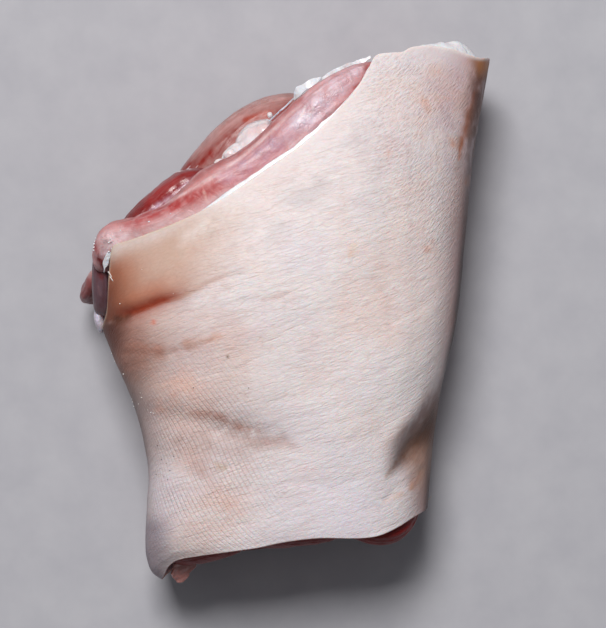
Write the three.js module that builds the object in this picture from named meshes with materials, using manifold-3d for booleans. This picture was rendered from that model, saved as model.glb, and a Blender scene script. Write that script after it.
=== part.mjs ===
// A bacon hock: the lower leg of a pig, cut off above and below the shank, with its rind on, raw and pale.
// It lies on its side. The rind wraps the leg as a bent tube, from the narrow sawn end at -Y to the wide slanting
// cut at +Y, where the muscles bulge out of the rind round the knuckle of the bone.
// The frame: +Z up, the table at z = 0, the origin under the middle of the bounding box. Millimetres.
import * as THREE from "three";
import { mergeVertices } from "three/addons/utils/BufferGeometryUtils.js";
import Module from "manifold-3d";

// ---- Driving dimensions ----
const SAWN_END_HEIGHT = 68; // top of the rind over the table at the narrow end
const SHOULDER_HEIGHT = 86; // the same at three quarters of the length, where it is highest
const CUT_END_HEIGHT = 82; // the same at the slanting cut
const MIDDLE_SHARE = 0.46; // the widest level, as a share of the height
const SQUARENESS = 2.5; // exponent of the superellipse section: 2 is an ellipse
const SQUASH_UNDER = 1.12; // how far the underside would reach below the table, were it not flattened there
const PLAN_CENTRE = new THREE.Vector2(-7.2, -2.2); // middle of the bounding box in the drawing's own coordinates

// Both edges of the outline seen from above, from the sawn end to the slanting cut.
const LEFT_EDGE = [
  [-50, -96.5], [-55.4, -85], [-56, -72], [-55.8, -58], [-58.2, -42.6], [-62.5, -28], [-69.2, -14], [-74.8, -1.4],
];
const RIGHT_EDGE = [
  [45.7, -71.5], [47, -54.6], [49, -38], [51, -24.6], [55, -5.8], [58.5, 26.7], [61.2, 56], [67.4, 91],
];

// How far the rind's rims stand past the straight line between the two edges, along the leg.
// The first number runs across the leg, from -1 at the left edge to 1 at the right edge.
const CUT_RIM_ABOVE = [
  [-1, 0], [-0.95, 1.5], [-0.84, 9.6], [-0.74, 15.6], [-0.64, 12.4], [-0.46, 10.1], [-0.28, 8.3], [-0.08, 9.1],
  [0.12, 10.7], [0.32, 11.4], [0.39, 12.8], [0.46, 16.4], [0.53, 20], [0.6, 19.6], [0.69, 18.4], [0.77, 15.6],
  [0.83, 11.4], [0.91, 3], [1, 0],
];
const CUT_RIM_BELOW = [
  [-1, 0], [-0.85, 6], [-0.6, 15], [-0.2, 23], [0.1, 24.5], [0.3, 22], [0.5, 19.5], [0.7, 15], [0.86, 9], [1, 0],
];
const SAWN_RIM_ABOVE = [
  [-1, 0.5], [-0.93, 4.2], [-0.83, 7.4], [-0.68, 7.5], [-0.42, 6.3], [-0.09, 6], [0.19, 3.9], [0.46, 0.2],
  [0.6, -0.9], [0.75, -0.4], [0.88, 0.7], [1, 1.5],
];
const SAWN_RIM_BELOW = [
  [-1, 0.5], [-0.7, 4.5], [0, 3], [0.7, -0.5], [1, 1.5],
];

// Soft dents and swellings of the upper rind: [x, y] of the middle, the turn of the long axis from +X in degrees,
// the spread along and across it, and the height. A negative height is a dent.
const RIND_RELIEF = [
  { at: [-48, 5], turn: 8, spread: [19, 1.9], height: -2.4 }, // crease at the left, under the rim
  { at: [-52, 13], turn: 8, spread: [17, 6], height: 1.6 }, // roll of rind over the crease
  { at: [-52, -7], turn: 6, spread: [16, 7], height: 1.1 }, // and under it
  { at: [39, -40], turn: 58, spread: [13, 4.6], height: -5 }, // hollow behind the calf
  { at: [31, -18], turn: 50, spread: [20, 12], height: 1.8 }, // calf
  { at: [-32, -39], turn: -10, spread: [17, 3], height: -1.3 }, // slack fold across the shin
  { at: [-38, -29], turn: -8, spread: [17, 5], height: 0.9 },
  { at: [-40, -72], turn: 55, spread: [15, 7], height: 1.6 }, // pad at the corner of the sawn end
];

// Cut faces: the rind and its fat stand as a rim, and the flesh inside starts a little deeper.
const RIM_SHARE = 0.955; // inner edge of the rim, as a share of the way from the middle of the face
const GROOVE_SHARE = 0.9;
const RIM_SLOPE = 0.8; // depth of the rim's inner edge
const CUT_FLOOR_DEPTH = 6;
const SAWN_FLOOR_DEPTH = 3;

// Muscles that bulge out of a cut face. Each is swept along a path of [across, height, lift] from the middle of the
// face: lift is how far its core stands out of the face. Size is [half height, half thickness].
const CUT_MUSCLES = {
  lip: {
    path: [[-75, 48, 1], [-66, 58, 3], [-54, 61, -0.7], [-41, 63, -2.5], [-24, 64, 1], [-9, 64, -1.8], [10, 64, -0.3],
      [24, 64, 1.5], [36, 63, -1.3], [50, 58, -7]],
    size: [16, 9.5],
  },
  roll: { path: [[-48, 20, 1], [-30, 20, 3.5], [-4, 20, 3.5], [12, 20, 1], [24, 20, -6]], size: [14.5, 11] },
  deep: { path: [[-68, 36, 0], [-54, 38, 3], [-42, 38, 4.5], [-32, 40, 5.5], [-20, 40, 1]], size: [13, 8.5] },
  side: { path: [[-72, 50, 3], [-78, 35, 2], [-78, 20, -1]], size: [9, 6.5] },
  nub: { path: [[-46, 20, -8], [-64, 17, 1], [-77, 16, 7], [-87, 15, 6]], size: [8, 6] },
  inner: { path: [[18, 40, -6], [46, 38, -4], [78, 38, -4]], size: [19, 10] },
  under: { path: [[16, 15, -5], [42, 15, -4], [70, 19, -4]], size: [12, 9] },
  core: { path: [[-44, 42, -8], [0, 44, -9], [44, 42, -8]], size: [20, 9] },
};
const SAWN_MUSCLES = {
  shin: { path: [[-42, 36, -2], [-31, 46, -0.8], [-16, 53, -1.2]], size: [11, 5.5] },
  crown: { path: [[-14, 55, -2.5], [2, 56, -1.2], [17, 54, -1.6]], size: [9.5, 5.5] },
  heel: { path: [[18, 52, -2], [31, 45, 0.6], [42, 34, -1.5]], size: [11, 5.5] },
  sole: { path: [[-32, 17, -1.8], [-8, 13, -0.8], [14, 12, -1.2], [32, 18, -1.8]], size: [9.5, 5] },
  flap: { path: [[-41, 38, -2], [-44.5, 35, 1.5], [-46, 31, 4]], size: [4.6, 2.4] },
};

// A slip of fat that stands out of the rim under the cut, between the roll and the right edge.
const FAT_SLIP = { path: [[12, 22, -1], [21, 25, 5.5], [31, 27, 6], [46, 38, 2], [56, 42, -4]], size: [7, 4] };

// The bone: two shafts grown together, and a knuckle of two round heads in the middle of the slanting cut.
const BONE_GAP = 0.3; // clearance to the flesh
const SHAFT = { from: [-6, -86, 34], to: [-13, 48, 39], size: [10.5, 9.5] };
const SLIM_SHAFT = { from: [11, -86, 29], to: [-3, 42, 36], size: [6.6, 6] };
const KNUCKLE = [
  { at: [-14, 58.6, 40], size: [10.8, 11, 10.5] },
  { at: [-22.5, 50.5, 41], size: [11, 11.5, 10.5] },
];
const SAW_LINE = -81.6; // the bone is sawn off square at this y

// ---- How finely the solids are faceted ----
const STEPS_ROUND = 48;
const STEPS_ALONG = 24;
const STEPS_IN = 3; // rings from the rim's groove to the middle of a cut face
const MUSCLE_FACETS = [14, 9];
const BONE_FACETS = 16;

// ---- Curves ----
const edgeCurve = (points) =>
  new THREE.CatmullRomCurve3(points.map(([x, y]) => new THREE.Vector3(x, y, 0)), false, "centripetal");

const leftEdge = edgeCurve(LEFT_EDGE);
const rightEdge = edgeCurve(RIGHT_EDGE);

// A smooth curve through [position, value] pairs, read at a position.
function profile(pairs) {
  const slopes = pairs.map((pair, i) => {
    const before = pairs[Math.max(0, i - 1)];
    const after = pairs[Math.min(pairs.length - 1, i + 1)];
    return (after[1] - before[1]) / (after[0] - before[0]);
  });
  return (position) => {
    const found = pairs.findIndex(([p]) => p >= position);
    const i = Math.max(0, (found < 0 ? pairs.length - 1 : found) - 1);
    const [[p0, v0], [p1, v1]] = [pairs[i], pairs[i + 1]];
    const width = p1 - p0;
    const t = THREE.MathUtils.clamp((position - p0) / width, 0, 1);
    const back = 1 - t;
    return v0 * (1 + 2 * t) * back * back + v1 * (3 - 2 * t) * t * t
      + width * (slopes[i] * t * back * back - slopes[i + 1] * t * t * back);
  };
}

const cutRimAbove = profile(CUT_RIM_ABOVE);
const cutRimBelow = profile(CUT_RIM_BELOW);
const sawnRimAbove = profile(SAWN_RIM_ABOVE);
const sawnRimBelow = profile(SAWN_RIM_BELOW);
const heightAlong = profile([[0, SAWN_END_HEIGHT], [0.4, 0.5 * (SAWN_END_HEIGHT + SHOULDER_HEIGHT)],
  [0.78, SHOULDER_HEIGHT], [1, CUT_END_HEIGHT]]);

// ---- The rind ----
// The straight line across the leg at a share of its length, in plan: its middle, half length and two directions.
function crossing(along) {
  const left = leftEdge.getPointAt(along);
  const right = rightEdge.getPointAt(along);
  const across = right.clone().sub(left);
  const half = across.length() / 2;
  across.normalize();
  return {
    middle: left.add(right).multiplyScalar(0.5),
    half,
    across,
    outward: new THREE.Vector3(-across.y, across.x, 0),
  };
}

// Section of the leg at an angle from the right edge: [share across, height over the table].
function section(angle, along) {
  const power = 2 / SQUARENESS;
  const share = Math.sign(Math.cos(angle)) * Math.abs(Math.cos(angle)) ** power;
  const rise = Math.sign(Math.sin(angle)) * Math.abs(Math.sin(angle)) ** power;
  const height = heightAlong(along);
  const level = MIDDLE_SHARE * height;
  return [share, rise >= 0 ? level + (height - level) * rise : Math.max(0, level * (1 + SQUASH_UNDER * rise))];
}

// Push of the dents and swellings at a point of the plan.
function relief(x, y) {
  return RIND_RELIEF.reduce((sum, { at, turn, spread, height }) => {
    const angle = THREE.MathUtils.degToRad(turn);
    const [dx, dy] = [x - at[0], y - at[1]];
    const u = (dx * Math.cos(angle) + dy * Math.sin(angle)) / spread[0];
    const v = (dy * Math.cos(angle) - dx * Math.sin(angle)) / spread[1];
    return sum + height * Math.exp(-(u * u + v * v) / 2);
  }, 0);
}

function rindPoint(angle, along) {
  const { middle, half, across, outward } = crossing(along);
  const [share, height] = section(angle, along);
  const above = Math.sin(angle) >= 0;
  const bow = (above ? cutRimAbove : cutRimBelow)(share) * along ** 2
    + (above ? sawnRimAbove : sawnRimBelow)(share) * (1 - along) ** 2;
  const point = middle.clone().addScaledVector(across, half * share).addScaledVector(outward, bow);
  point.z = height;
  const facing = Math.max(0, Math.sin(angle)) ** 0.5;
  const push = relief(point.x, point.y) * facing;
  return point.addScaledVector(across, push * Math.cos(angle) * 0.7).add(new THREE.Vector3(0, 0, push * facing));
}

// ---- Cut faces ----
// A point of a cut face: across the leg in millimetres from its middle, height over the table, and lift out of it.
// The face is drawn by straight lines from the rind's rim above to its rim below.
function facePoint(end, x, z, lift) {
  const along = end === "cut" ? 1 : 0;
  const [rimAbove, rimBelow] = end === "cut" ? [cutRimAbove, cutRimBelow] : [sawnRimAbove, sawnRimBelow];
  const { middle, half, across, outward } = crossing(along);
  const share = THREE.MathUtils.clamp(x / half, -1, 1);
  const angle = Math.acos(Math.sign(share) * Math.abs(share) ** (SQUARENESS / 2));
  const [top, bottom] = [section(angle, along)[1], section(-angle, along)[1]];
  const climb = top - bottom < 1 ? 0.5 : THREE.MathUtils.clamp((z - bottom) / (top - bottom), 0, 1);
  const bow = THREE.MathUtils.lerp(rimBelow(share), rimAbove(share), climb);
  const point = middle.clone().addScaledVector(across, x)
    .addScaledVector(outward, bow + (end === "cut" ? lift : -lift));
  point.z = z;
  return point;
}

// A ring of a cut face, at a share of the way from the middle of the face to its rim.
function faceRing(end, share, depth) {
  const along = end === "cut" ? 1 : 0;
  const { half } = crossing(along);
  const level = MIDDLE_SHARE * heightAlong(along);
  return Array.from({ length: STEPS_ROUND }, (_, i) => {
    const [across, height] = section((2 * Math.PI * i) / STEPS_ROUND, along);
    return facePoint(end, half * across * share, level + (height - level) * share, -depth);
  });
}

// ---- Solids ----
const wasm = await Module();
wasm.setup();

function toSolid(geometry) {
  const bare = geometry.clone();
  bare.deleteAttribute("normal");
  bare.deleteAttribute("uv");
  const merged = mergeVertices(bare, 1e-4);
  return new wasm.Manifold(new wasm.Mesh({
    numProp: 3,
    vertProperties: new Float32Array(merged.attributes.position.array),
    triVerts: new Uint32Array(merged.index.array),
  }));
}

const joined = (solids) => solids.reduce((whole, solid) => whole.add(solid));

function toGeometry(solid) {
  const { numProp, numVert, vertProperties, triVerts } = solid.getMesh();
  const positions = new Float32Array(numVert * 3);
  for (let i = 0; i < numVert; i += 1) {
    positions.set(vertProperties.subarray(i * numProp, i * numProp + 3), i * 3);
  }
  const geometry = new THREE.BufferGeometry();
  geometry.setAttribute("position", new THREE.BufferAttribute(positions, 3));
  geometry.setIndex(new THREE.BufferAttribute(new Uint32Array(triVerts), 1));
  geometry.computeVertexNormals();
  return geometry;
}

// The leg: rings of the rind, closed at each end by the rings of its cut face and a middle point.
function makeLeg() {
  const sides = Array.from({ length: STEPS_ALONG + 1 }, (_, j) =>
    Array.from({ length: STEPS_ROUND }, (_, i) =>
      rindPoint((2 * Math.PI * i) / STEPS_ROUND, j / STEPS_ALONG)));
  const face = (end, floor) => [
    faceRing(end, RIM_SHARE, RIM_SLOPE),
    ...Array.from({ length: STEPS_IN }, (_, k) =>
      faceRing(end, GROOVE_SHARE * (1 - k / STEPS_IN), floor)),
  ];
  const rings = [
    ...face("sawn", SAWN_FLOOR_DEPTH).reverse(), ...sides, ...face("cut", CUT_FLOOR_DEPTH),
  ];
  const level = (along) => MIDDLE_SHARE * heightAlong(along);
  const positions = [
    ...rings.flat(), facePoint("sawn", 0, level(0), -SAWN_FLOOR_DEPTH), facePoint("cut", 0, level(1), -CUT_FLOOR_DEPTH),
  ];
  const [sawnMiddle, cutMiddle] = [positions.length - 2, positions.length - 1];
  const faces = [];
  for (let i = 0; i < STEPS_ROUND; i += 1) {
    const next = (i + 1) % STEPS_ROUND;
    for (let j = 0; j < rings.length - 1; j += 1) {
      const [near, far] = [j * STEPS_ROUND, (j + 1) * STEPS_ROUND];
      faces.push(near + i, far + next, near + next, near + i, far + i, far + next);
    }
    const last = (rings.length - 1) * STEPS_ROUND;
    faces.push(sawnMiddle, i, next, cutMiddle, last + next, last + i);
  }
  const geometry = new THREE.BufferGeometry().setFromPoints(positions);
  geometry.setIndex(faces);
  return toSolid(geometry);
}

// A round-ended body swept along a path: a sphere whose poles go to the two ends of the path.
function sweep(points, [high, thick], side, facets = MUSCLE_FACETS) {
  const path = new THREE.CatmullRomCurve3(points, false, "centripetal");
  const geometry = new THREE.SphereGeometry(1, ...facets);
  const position = geometry.getAttribute("position");
  const at = new THREE.Vector3();
  for (let i = 0; i < position.count; i += 1) {
    at.fromBufferAttribute(position, i);
    const share = (1 - at.y) / 2;
    const fullness = Math.max(1 - at.y * at.y, 1e-6) ** -0.18;
    const run = path.getTangentAt(share);
    const out = new THREE.Vector3().crossVectors(run, side).normalize();
    const up = new THREE.Vector3().crossVectors(out, run);
    position.setXYZ(i, ...path.getPointAt(share)
      .addScaledVector(up, at.x * high * fullness)
      .addScaledVector(out, at.z * thick * fullness));
  }
  const solid = toSolid(geometry);
  return solid.volume() < 0 ? toSolid(mirrored(geometry)) : solid;
}

function mirrored(geometry) {
  const turned = geometry.clone();
  const { array } = turned.index;
  for (let i = 0; i < array.length; i += 3) [array[i], array[i + 1]] = [array[i + 1], array[i]];
  return turned;
}

const UP = new THREE.Vector3(0, 0, 1);

function makeMuscle(end, { path, size }) {
  return sweep(path.map(([x, z, lift]) => facePoint(end, x, z, lift)), size, UP);
}

function makeShaft({ from, to, size }, extra) {
  const start = new THREE.Vector3(...from);
  const end = new THREE.Vector3(...to);
  const half = start.distanceTo(end) / 2;
  const geometry = new THREE.CylinderGeometry(1, 1, 2 * half, BONE_FACETS, 5);
  const position = geometry.getAttribute("position");
  for (let i = 0; i < position.count; i += 1) {
    const waist = 0.84 + 0.16 * (position.getY(i) / half) ** 2;
    position.setX(i, position.getX(i) * (size[0] * waist + extra));
    position.setZ(i, position.getZ(i) * (size[1] * waist + extra));
  }
  const turn = new THREE.Quaternion().setFromUnitVectors(
    new THREE.Vector3(0, 1, 0), end.clone().sub(start).normalize());
  geometry.applyQuaternion(turn).translate(...start.add(end).multiplyScalar(0.5));
  return toSolid(geometry);
}

function makeKnuckle({ at, size }, extra) {
  const geometry = new THREE.SphereGeometry(1, BONE_FACETS, BONE_FACETS / 2);
  geometry.scale(...size.map((radius) => radius + extra)).translate(...at);
  return toSolid(geometry);
}

// The bone, grown by extra all round: 0 for the bone, the gap for the hollow that it lies in.
function makeBone(extra) {
  return joined([
    makeShaft(SHAFT, extra), makeShaft(SLIM_SHAFT, extra), ...KNUCKLE.map((head) => makeKnuckle(head, extra)),
  ]);
}

function sawnOff(solid) {
  const waste = new THREE.BoxGeometry(200, 40, 200).translate(0, SAW_LINE - 20, 0);
  return solid.subtract(toSolid(waste));
}

function makeHock() {
  const muscles = [
    ...Object.values(CUT_MUSCLES).map((muscle) => makeMuscle("cut", muscle)),
    makeMuscle("cut", FAT_SLIP),
    ...Object.values(SAWN_MUSCLES).map((muscle) => makeMuscle("sawn", muscle)),
  ];
  return joined([makeLeg(), ...muscles]).subtract(makeBone(BONE_GAP));
}

// ---- The object ----
const rindFinish = new THREE.MeshStandardMaterial({ color: 0xe9d2c6, roughness: 0.55, metalness: 0 });
const boneFinish = new THREE.MeshStandardMaterial({ color: 0xf0e2d6, roughness: 0.45, metalness: 0 });

function makeNode(name, solid, finish) {
  const mesh = new THREE.Mesh(toGeometry(solid), finish);
  mesh.name = name;
  return mesh;
}

const hock = new THREE.Group();
hock.add(makeNode("hock", makeHock(), rindFinish));
hock.add(makeNode("bone", sawnOff(makeBone(0)), boneFinish));
hock.position.set(-PLAN_CENTRE.x, -PLAN_CENTRE.y, 0);

export default hock;
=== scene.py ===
"""Looks of a raw hock of pork that lies on its side: rind, fat, muscles, bone and their light.

The leg is drawn in millimetres, in the same drawing frame as the solids, and put into the frame in metres.
"""
from __future__ import annotations

import logging
import math
from collections.abc import Callable, Iterator, Sequence
from contextlib import contextmanager
from dataclasses import dataclass, field
from enum import Enum

import bpy
import numpy as np
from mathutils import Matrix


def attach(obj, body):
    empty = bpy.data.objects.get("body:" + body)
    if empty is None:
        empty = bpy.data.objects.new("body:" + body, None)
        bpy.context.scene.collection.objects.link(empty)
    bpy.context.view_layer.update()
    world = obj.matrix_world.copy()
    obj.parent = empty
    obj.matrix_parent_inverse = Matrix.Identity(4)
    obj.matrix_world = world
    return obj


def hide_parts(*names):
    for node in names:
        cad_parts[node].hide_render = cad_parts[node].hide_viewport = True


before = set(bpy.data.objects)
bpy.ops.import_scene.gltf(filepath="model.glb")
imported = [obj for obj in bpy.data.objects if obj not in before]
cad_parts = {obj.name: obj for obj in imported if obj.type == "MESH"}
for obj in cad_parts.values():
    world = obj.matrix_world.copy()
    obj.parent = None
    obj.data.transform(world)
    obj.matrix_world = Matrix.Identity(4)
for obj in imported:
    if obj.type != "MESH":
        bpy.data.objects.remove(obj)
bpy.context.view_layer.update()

log = logging.getLogger("hock")

MM = 0.001
PLAN_CENTRE = (-7.2, -2.2)
VIEW_STEP = 0.36
VIEW_LEVEL = 40.0
VIEW_HEIGHT = 900.0
VIEW_CENTRE = (303.0, 314.0)
UP = np.array([0.0, 0.0, 1.0])
HASH_FACTORS = (374761393, 668265263, 2246822519)
HASH_SEED = 3266489917
HASH_STIR = 1274126177
WORD = 4294967296
Array = np.ndarray
Material = bpy.types.Material
Object = bpy.types.Object
Socket = bpy.types.NodeSocket


# ---- Numbers, curves and noise ----


def smooth(low: float, high: float, value: Array) -> Array:
    """Rise from 0 at low to 1 at high, with level ends.

    Args:
        low: where the rise starts; it may be above high, for a fall.
        high: where the rise ends.
        value: the numbers to read it at.

    Returns:
        The rise at each number.
    """
    t = np.clip((value - low) / (high - low), 0.0, 1.0)
    return t * t * (3.0 - 2.0 * t)


def hump(value: Array, middle: float, spread: float) -> Array:
    """Bell of height 1 round a middle."""
    return np.exp(-(((value - middle) / spread) ** 2) / 2.0)


def unit(vectors: Array) -> Array:
    """The vectors made one long."""
    return vectors / np.maximum(np.linalg.norm(vectors, axis=-1, keepdims=True), 1e-9)


def squared(value: Array, power: float) -> Array:
    """The value raised to a power, with its sign kept."""
    return np.sign(value) * np.abs(value) ** power


def linear(colour: Sequence[float]) -> tuple[float, float, float]:
    """Scene-linear values of a display colour of 0 to 255."""
    shares = [channel / 255.0 for channel in colour]
    return tuple(s / 12.92 if s <= 0.04045 else ((s + 0.055) / 1.055) ** 2.4 for s in shares)


def _hashed(cells: Array, seed: int) -> Array:
    """A fixed random number of -1 to 1 for each whole-numbered cell.

    Args:
        cells: whole-numbered cells, three numbers each.
        seed: which numbers.

    Returns:
        One number for each cell.
    """
    axes = np.moveaxis(cells.astype(np.int64).astype(np.uint32), -1, 0)
    mixed = sum(axis * np.uint32(factor) for axis, factor in zip(axes, HASH_FACTORS))
    mixed = mixed + np.uint32((seed * HASH_SEED) % WORD)
    mixed = (mixed ^ (mixed >> np.uint32(13))) * np.uint32(HASH_STIR)
    mixed = mixed ^ (mixed >> np.uint32(16))
    return mixed.astype(np.float64) / ((WORD - 1) / 2) - 1.0


def grain(points: Array, seed: int = 0) -> Array:
    """Smooth noise of -1 to 1 with cells one wide.

    Args:
        points: places, of two or three numbers each.
        seed: which noise.

    Returns:
        The noise at each place.
    """
    places = np.zeros(points.shape[:-1] + (3,))
    places[..., : points.shape[-1]] = points
    cell = np.floor(places)
    part = places - cell
    part = part * part * part * (part * (part * 6.0 - 15.0) + 10.0)
    total = np.zeros(points.shape[:-1])
    for corner in np.ndindex(2, 2, 2):
        weight = np.prod(np.where(np.array(corner) == 1, part, 1.0 - part), axis=-1)
        total += weight * _hashed(cell + np.array(corner), seed)
    return total


def cloud(points: Array, octaves: int = 3, seed: int = 0) -> Array:
    """Noise of several finenesses, each half as strong as the one before."""
    return sum(grain(points * 2.0**i, seed + 7 * i) * 0.5**i for i in range(octaves)) / 1.6


class Curve:
    """A smooth curve through points, read at shares of its length."""

    def __init__(self, points: Sequence[Sequence[float]], samples: int = 120) -> None:
        """Args:
            points: what the curve passes through.
            samples: stretches measured between two points.
        """
        given = np.asarray(points, dtype=float)
        padded = np.vstack([2 * given[0] - given[1], given, 2 * given[-1] - given[-2]])
        t = np.linspace(0.0, 1.0, samples)[:, None]
        stretches = []
        for p0, p1, p2, p3 in zip(padded, padded[1:], padded[2:], padded[3:]):
            d0, d1, d2 = (math.sqrt(np.linalg.norm(b - a)) for a, b in ((p0, p1), (p1, p2), (p2, p3)))
            start = ((p1 - p0) / d0 - (p2 - p0) / (d0 + d1) + (p2 - p1) / d1) * d1
            end = ((p2 - p1) / d1 - (p3 - p1) / (d1 + d2) + (p3 - p2) / d2) * d1
            stretches.append(p1 + start * t + (3 * (p2 - p1) - 2 * start - end) * t**2
                             + (2 * (p1 - p2) + start + end) * t**3)
        self.track = np.vstack(stretches)
        steps = np.linalg.norm(np.diff(self.track, axis=0), axis=1)
        self.run = np.concatenate([[0.0], np.cumsum(steps)])
        self.length = float(self.run[-1])

    def at(self, share: Array) -> Array:
        """Points at shares of the length."""
        reach = np.clip(share, 0.0, 1.0) * self.length
        return np.stack([np.interp(reach, self.run, axis) for axis in self.track.T], axis=-1)

    def heading(self, share: Array) -> Array:
        """Directions of travel at shares of the length."""
        return unit(self.at(np.minimum(share + 0.01, 1.0)) - self.at(np.maximum(share - 0.01, 0.0)))


class Profile:
    """A smooth line through (position, value) pairs."""

    def __init__(self, pairs: Sequence[tuple[float, float]]) -> None:
        """Args:
            pairs: positions in rising order, each with its value.
        """
        self.places, self.values = (np.array(column, dtype=float) for column in zip(*pairs))
        before = np.maximum(np.arange(len(pairs)) - 1, 0)
        after = np.minimum(np.arange(len(pairs)) + 1, len(pairs) - 1)
        self.slopes = (self.values[after] - self.values[before]) / (self.places[after] - self.places[before])

    def __call__(self, position: Array) -> Array:
        """Values at positions.

        Args:
            position: where to read the line.

        Returns:
            The values there.
        """
        position = np.asarray(position, dtype=float)
        i = np.clip(np.searchsorted(self.places, position, side="left") - 1, 0, len(self.places) - 2)
        width = self.places[i + 1] - self.places[i]
        t = np.clip((position - self.places[i]) / width, 0.0, 1.0)
        back = 1.0 - t
        return (self.values[i] * (1 + 2 * t) * back**2 + self.values[i + 1] * (3 - 2 * t) * t**2
                + width * (self.slopes[i] * t * back**2 - self.slopes[i + 1] * t**2 * back))


# ---- The leg's form ----


class End(Enum):
    """The two cut faces of the leg."""

    SAWN = 0.0
    CUT = 1.0


@dataclass(frozen=True)
class Swell:
    """A soft dent or swelling of the upper rind, in millimetres and degrees."""

    at: tuple[float, float]
    turn: float
    spread: tuple[float, float]
    height: float

    def push(self, plan: Array) -> Array:
        """Height of the swelling at places of the plan.

        Args:
            plan: places across and up the plan, in millimetres.

        Returns:
            The height at each place.
        """
        angle = math.radians(self.turn)
        dx, dy = plan[..., 0] - self.at[0], plan[..., 1] - self.at[1]
        u = (dx * math.cos(angle) + dy * math.sin(angle)) / self.spread[0]
        v = (dy * math.cos(angle) - dx * math.sin(angle)) / self.spread[1]
        return self.height * np.exp(-(u * u + v * v) / 2.0)


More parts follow.
